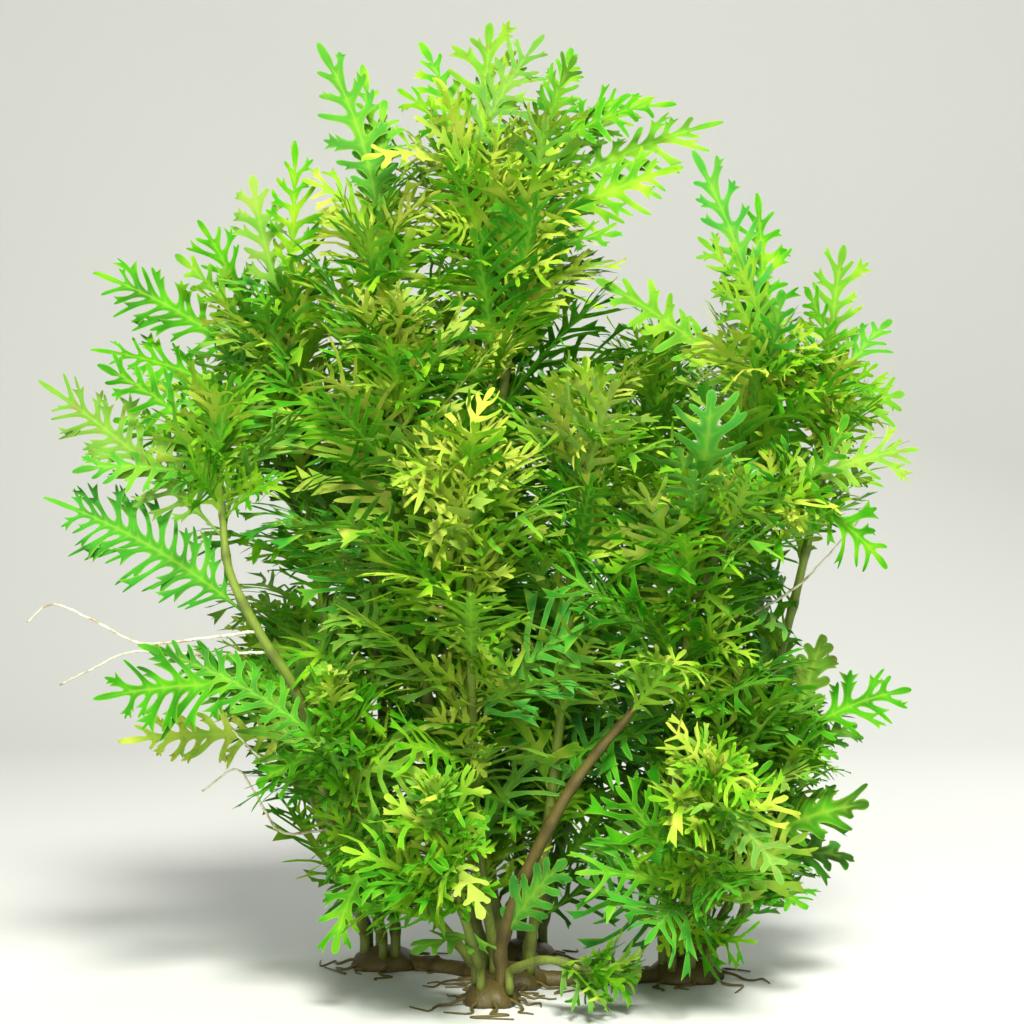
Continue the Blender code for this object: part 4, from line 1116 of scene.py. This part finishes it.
def build_stems(paths, surfaces):
    """The stems' skins, swollen at each pair of leaves."""
    for name, path in paths.items():
        total = lengths_along(path)[-1]
        count = max(FEWEST_RINGS, int(total / RING_STEP))
        spots, radii, share_row, joint_row = [], [], [], []
        origin = STEMS[name].origin
        joints = [total - pair[0] for pair in LEAF_PAIRS if pair[0] < total - LOWEST_JOINT]
        joints += [FIRST_JOINT] if origin in CROWNS else []
        for k in range(count + 1):
            d = total * k / count
            spots.append(along(path, d)[0])
            near = max(math.exp(-((d - j) / JOINT_LENGTH) ** 2) for j in joints)
            radii.append(stem_radius(name, k / count) * (SKIN_WIDTH + JOINT_SWELL * near))
            share_row.append(min(1.0, (d / total) ** 0.8 * min(1, total / 160) + 0.1))
            joint_row.append(near)
        if origin in CROWNS:
            spots = [spots[0] - UP * FOOT_SINK] + spots
            radii, share_row, joint_row = ([radii[0] * 1.1] + radii, [0.0] + share_row,
                                           [0.6] + joint_row)
        else:
            parent = paths[origin]
            start = along(parent, lengths_along(parent)[-1] * STEMS[name].start)[0]
            spots = [start] + spots
            radii, share_row, joint_row = [radii[0]] + radii, [0.3] + share_row, [0.8] + joint_row
        slot = "brown_stem" if name == "stem_brown" else "stem"
        piece = rings_object(f"{name}_skin", spots, radii, surfaces[slot], ridge=STEM_RIDGE,
                             values={"along": share_row, "joint": joint_row})
        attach(piece, "root")
        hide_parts(name)


def angle_between(a, b):
    """The angle between two leaves' headings, in degrees."""
    return math.degrees((a.tip - a.base).angle(b.tip - b.base))


def crowded(leaf, known):
    """Whether a leaf grows almost from the place and in the direction of a known one."""
    return any((leaf.base - other.base).length < CROWDED_DISTANCE
               and angle_between(leaf, other) < CROWDED_ANGLE for other in known)


def regular_leaves(paths, stem, known, bare):
    """The leaves that a stem has by rule: its pairs, those between them and its short shoots."""
    total = lengths_along(paths[stem])[-1]
    for pair, (distance, _, _) in enumerate(LEAF_PAIRS):
        if distance > total - BARE_FOOT:
            return
        if in_bare_stretch(stem, distance):
            continue
        for extra in (False, True) if pair + 1 < len(LEAF_PAIRS) else (False,):
            for side in (0, 1):
                leaf = held_inside(leaf_on_stem(paths, stem, pair, side, extra))
                if leaf and not hides(leaf, bare) and not crowded(leaf, known):
                    yield leaf
        if pair < FIRST_SHOOT_PAIR:
            continue
        for side in (0, 1) if pair < LAST_DOUBLE_SHOOT else (pair % 2,):
            for leaf in shoot_leaves(paths, stem, pair, side):
                if held_inside(leaf) and not hides(leaf, bare):
                    yield leaf


def best_nudge(paths, name):
    """The depth at which a large leaf's solid lies, told by its node's box."""
    low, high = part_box(name)
    middle = (Vector(low) + Vector(high)) / 2 / MM

    def miss(nudge):
        leaf = seen_leaf(paths, LEAVES, name, nudge)
        return abs((leaf.base.y * 0.4 + leaf.tip.y * 0.6) - middle.y)
    return min(NUDGES, key=miss)


def build_leaves(paths, surface):
    """Every leaf: the large ones as pieces of their own, the others joined to their stems."""
    bare = bare_places(paths)
    large = {name: seen_leaf(paths, LEAVES, name, best_nudge(paths, name)) for name in LEAVES}
    small = {name: seen_leaf(paths, SMALL_LEAVES, name) for name in SMALL_LEAVES}
    small |= {name: seen_leaf(paths, FINE_LEAVES, name) for name in FINE_LEAVES}
    for name, leaf in large.items():
        cage = Cage()
        add_leaf(cage, leaf)
        piece = cage_object(f"{name}_blade", cage, surface)
        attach(piece, "root")
        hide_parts(name)
    for stem in paths:
        cage = Cage()
        known = [large[name] for name in LEAVES if LEAVES[name][0] == stem]
        own_small = [small[name] for name, row in (SMALL_LEAVES | FINE_LEAVES).items()
                     if row[0] == stem]
        known += own_small
        for leaf in own_small:
            add_leaf(cage, leaf)
        for row in ROSETTES:
            for leaf in rosette_leaves(paths, row) if row[0] == stem else ():
                if held_inside(leaf):
                    add_leaf(cage, leaf)
        for leaf in regular_leaves(paths, stem, known, bare):
            add_leaf(cage, leaf)
        if not cage.points:
            continue
        piece = cage_object(f"{stem}_foliage", cage, surface, level=0)
        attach(piece, "root")
        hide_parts(stem)


def build_roots(paths, surface):
    """The free roots, each a little crooked."""
    for name, (stem, foot, places) in ROOTS.items():
        point = along(paths[stem], nearest(paths[stem], foot))[0]
        path = smooth_path([point] + [seen(*place) for place in places], 2.0)
        own = random.Random(name)
        path = [p + Vector([own.uniform(-0.25, 0.25) for _ in range(3)]) for p in path]
        count = len(path)
        radii = [0.62 - 0.25 * k / count for k in range(count)]
        piece = rings_object(f"{name}_strand", path, radii, surface, sides=8)
        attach(piece, "root")
        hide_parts(name)


def knot(name, x, y, radius, surface):
    """A crown's woody knot: a low lumpy dome."""
    own = random.Random(name)
    waves = [(own.randint(3, 9), own.uniform(0, 6.3), own.uniform(0.02, 0.06)) for _ in range(5)]
    path = [Vector((x, y, CROWN_TOP * height)) for height, _ in KNOT_ROWS]
    radii = [radius * share for _, share in KNOT_ROWS]
    piece = rings_object(f"knot_{name}", path, radii, surface, sides=KNOT_SIDES,
                         values={"along": [0.0] * len(path), "joint": [0.25] * len(path)})
    for vertex in piece.data.vertices:
        dx, dy = vertex.co.x / MM - x, vertex.co.y / MM - y
        angle = math.atan2(dy, dx)
        swell = 1 + sum(size * math.cos(count * angle + phase + vertex.co.z / MM * 0.3)
                        for count, phase, size in waves)
        vertex.co.x, vertex.co.y = (x + dx * swell) * MM, (y + dy * swell) * MM
    return piece


def rootlets(name, x, y, radius, surface):
    """Short crooked roots that spread from a knot over the ground."""
    own = random.Random(f"{name} roots")
    parts = []
    for k in range(ROOTLETS):
        angle = 2 * math.pi * (k + own.uniform(-0.3, 0.3)) / ROOTLETS
        reach = own.uniform(9, 24)
        route = []
        for step in range(ROOTLET_STEPS + 1):
            turn = angle + own.uniform(-0.25, 0.25) * step / 3
            far = radius * 0.85 + reach * step / ROOTLET_STEPS
            route.append(Vector((x + math.cos(turn) * far, y + math.sin(turn) * far,
                                 max(0.45, 2.6 - 0.8 * step + own.uniform(0, 0.5)))))
        route = smooth_path(route, 2.5)
        radii = [0.75 - 0.5 * j / len(route) for j in range(len(route))]
        parts.append(rings_object(f"rootlet_{name}_{k}", route, radii, surface, sides=6,
                                  values={"along": [0.6] * len(route),
                                          "joint": [0.0] * len(route)}))
    return parts


def build_base(surface):
    """The creeping base: knotted crowns, the runners between them and their rootlets."""
    parts = []
    for name, (x, y, radius) in CROWNS.items():
        own = random.Random(name)
        parts.append(knot(name, x, y, radius, surface))
        parts += rootlets(name, x, y, radius, surface)
        if name == "middle":
            continue
        start, end = Vector((0, 0, RUNNER_HEIGHT)), Vector((x, y, RUNNER_HEIGHT))
        bend = end.cross(UP).normalized() * end.length * RUNNER_BEND
        route = smooth_path([start, end / 2 + bend, end], 2.0)
        near = [math.exp(-((k % 9) - 4) ** 2 / 1.5) for k in range(len(route))]
        radii = [RUNNER_RADIUS * (0.9 + 0.22 * v) + own.uniform(-0.15, 0.15) for v in near]
        parts.append(rings_object(f"runner_{name}", route, radii, surface, sides=12, ridge=0.05,
                                  values={"along": [0.1] * len(route), "joint": near}))
    with bpy.context.temp_override(active_object=parts[0], selected_editable_objects=parts):
        bpy.ops.object.join()
    base = parts[0]
    base.name = "creeping_base_skin"
    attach(base, "root")
    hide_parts("creeping_base")


def build_stage():
    """A plain pale floor that sweeps up into a backdrop."""
    n = Nodes("stage")
    n.shader.inputs["Base Color"].default_value = (0.60, 0.61, 0.60, 1)
    n.shader.inputs["Roughness"].default_value = 0.9
    n.shader.inputs["Specular IOR Level"].default_value = 0.1
    profile = [(-STAGE_HALF_WIDTH, 0.0), (FLOOR_DEPTH, 0.0)]
    for k in range(1, SWEEP_STEPS + 1):
        angle = math.pi / 2 * k / SWEEP_STEPS
        profile.append((FLOOR_DEPTH + SWEEP_RADIUS * math.sin(angle),
                        SWEEP_RADIUS * (1 - math.cos(angle))))
    profile.append((FLOOR_DEPTH + SWEEP_RADIUS, WALL_HEIGHT))
    points = [(x, y, z) for x in (-STAGE_HALF_WIDTH, STAGE_HALF_WIDTH) for y, z in profile]
    count = len(profile)
    faces = [(k, k + count, k + count + 1, k + 1) for k in range(count - 1)]
    mesh = bpy.data.meshes.new("floor")
    mesh.from_pydata(points, [], faces)
    floor = placed("floor", mesh, n.surface)
    floor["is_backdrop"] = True


def add_lamp(name, place, target, size, power, colour):
    """A soft square lamp that looks at a place."""
    lamp = bpy.data.lights.new(name, "AREA")
    lamp.shape = "SQUARE"
    lamp.size = size
    lamp.energy = power
    lamp.color = colour
    holder = bpy.data.objects.new(name, lamp)
    holder.location = place
    holder.rotation_euler = (Vector(target) - Vector(place)).to_track_quat("-Z", "Y").to_euler()
    bpy.context.scene.collection.objects.link(holder)


def build_light():
    """Strong soft light from above, a soft fill from the front and a little from behind."""
    world = bpy.data.worlds.new("studio")
    bpy.context.scene.world = world
    world.use_nodes = True
    background = world.node_tree.nodes["Background"]
    background.inputs["Color"].default_value = (0.99, 1.0, 0.97, 1)
    background.inputs["Strength"].default_value = WORLD_STRENGTH
    for lamp in LAMPS:
        add_lamp(*lamp)


def build_camera():
    """The photograph's view: level, at the height of the clump's middle."""
    lens = bpy.data.cameras.new("camera")
    lens.sensor_width = SENSOR_WIDTH
    lens.lens = CAMERA_FOCAL
    lens.clip_start = 0.05
    holder = bpy.data.objects.new("camera", lens)
    holder.location = EYE * MM
    holder.rotation_euler = (math.pi / 2, 0, 0)
    bpy.context.scene.collection.objects.link(holder)
    bpy.context.scene.camera = holder


def write_sizes():
    """The shown object's box before and after this script's own pieces, worked out but not written
    anywhere.
    """
    sizes = [[list(corner) for corner in box] for box in (size_before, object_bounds())]


def main():
    surfaces = {
        "stem": stem_surface("stem", (0.065, 0.072, 0.012), (0.150, 0.230, 0.028)),
        "brown_stem": stem_surface("brown_stem", (0.046, 0.035, 0.009), (0.098, 0.082, 0.017)),
    }
    paths = stem_paths()
    build_camera()
    build_stems(paths, surfaces)
    build_leaves(paths, leaf_surface())
    build_roots(paths, root_surface())
    build_base(surfaces["brown_stem"])
    build_stage()
    build_light()
    bpy.context.scene.view_settings.view_transform = "Standard"
    write_sizes()


main()
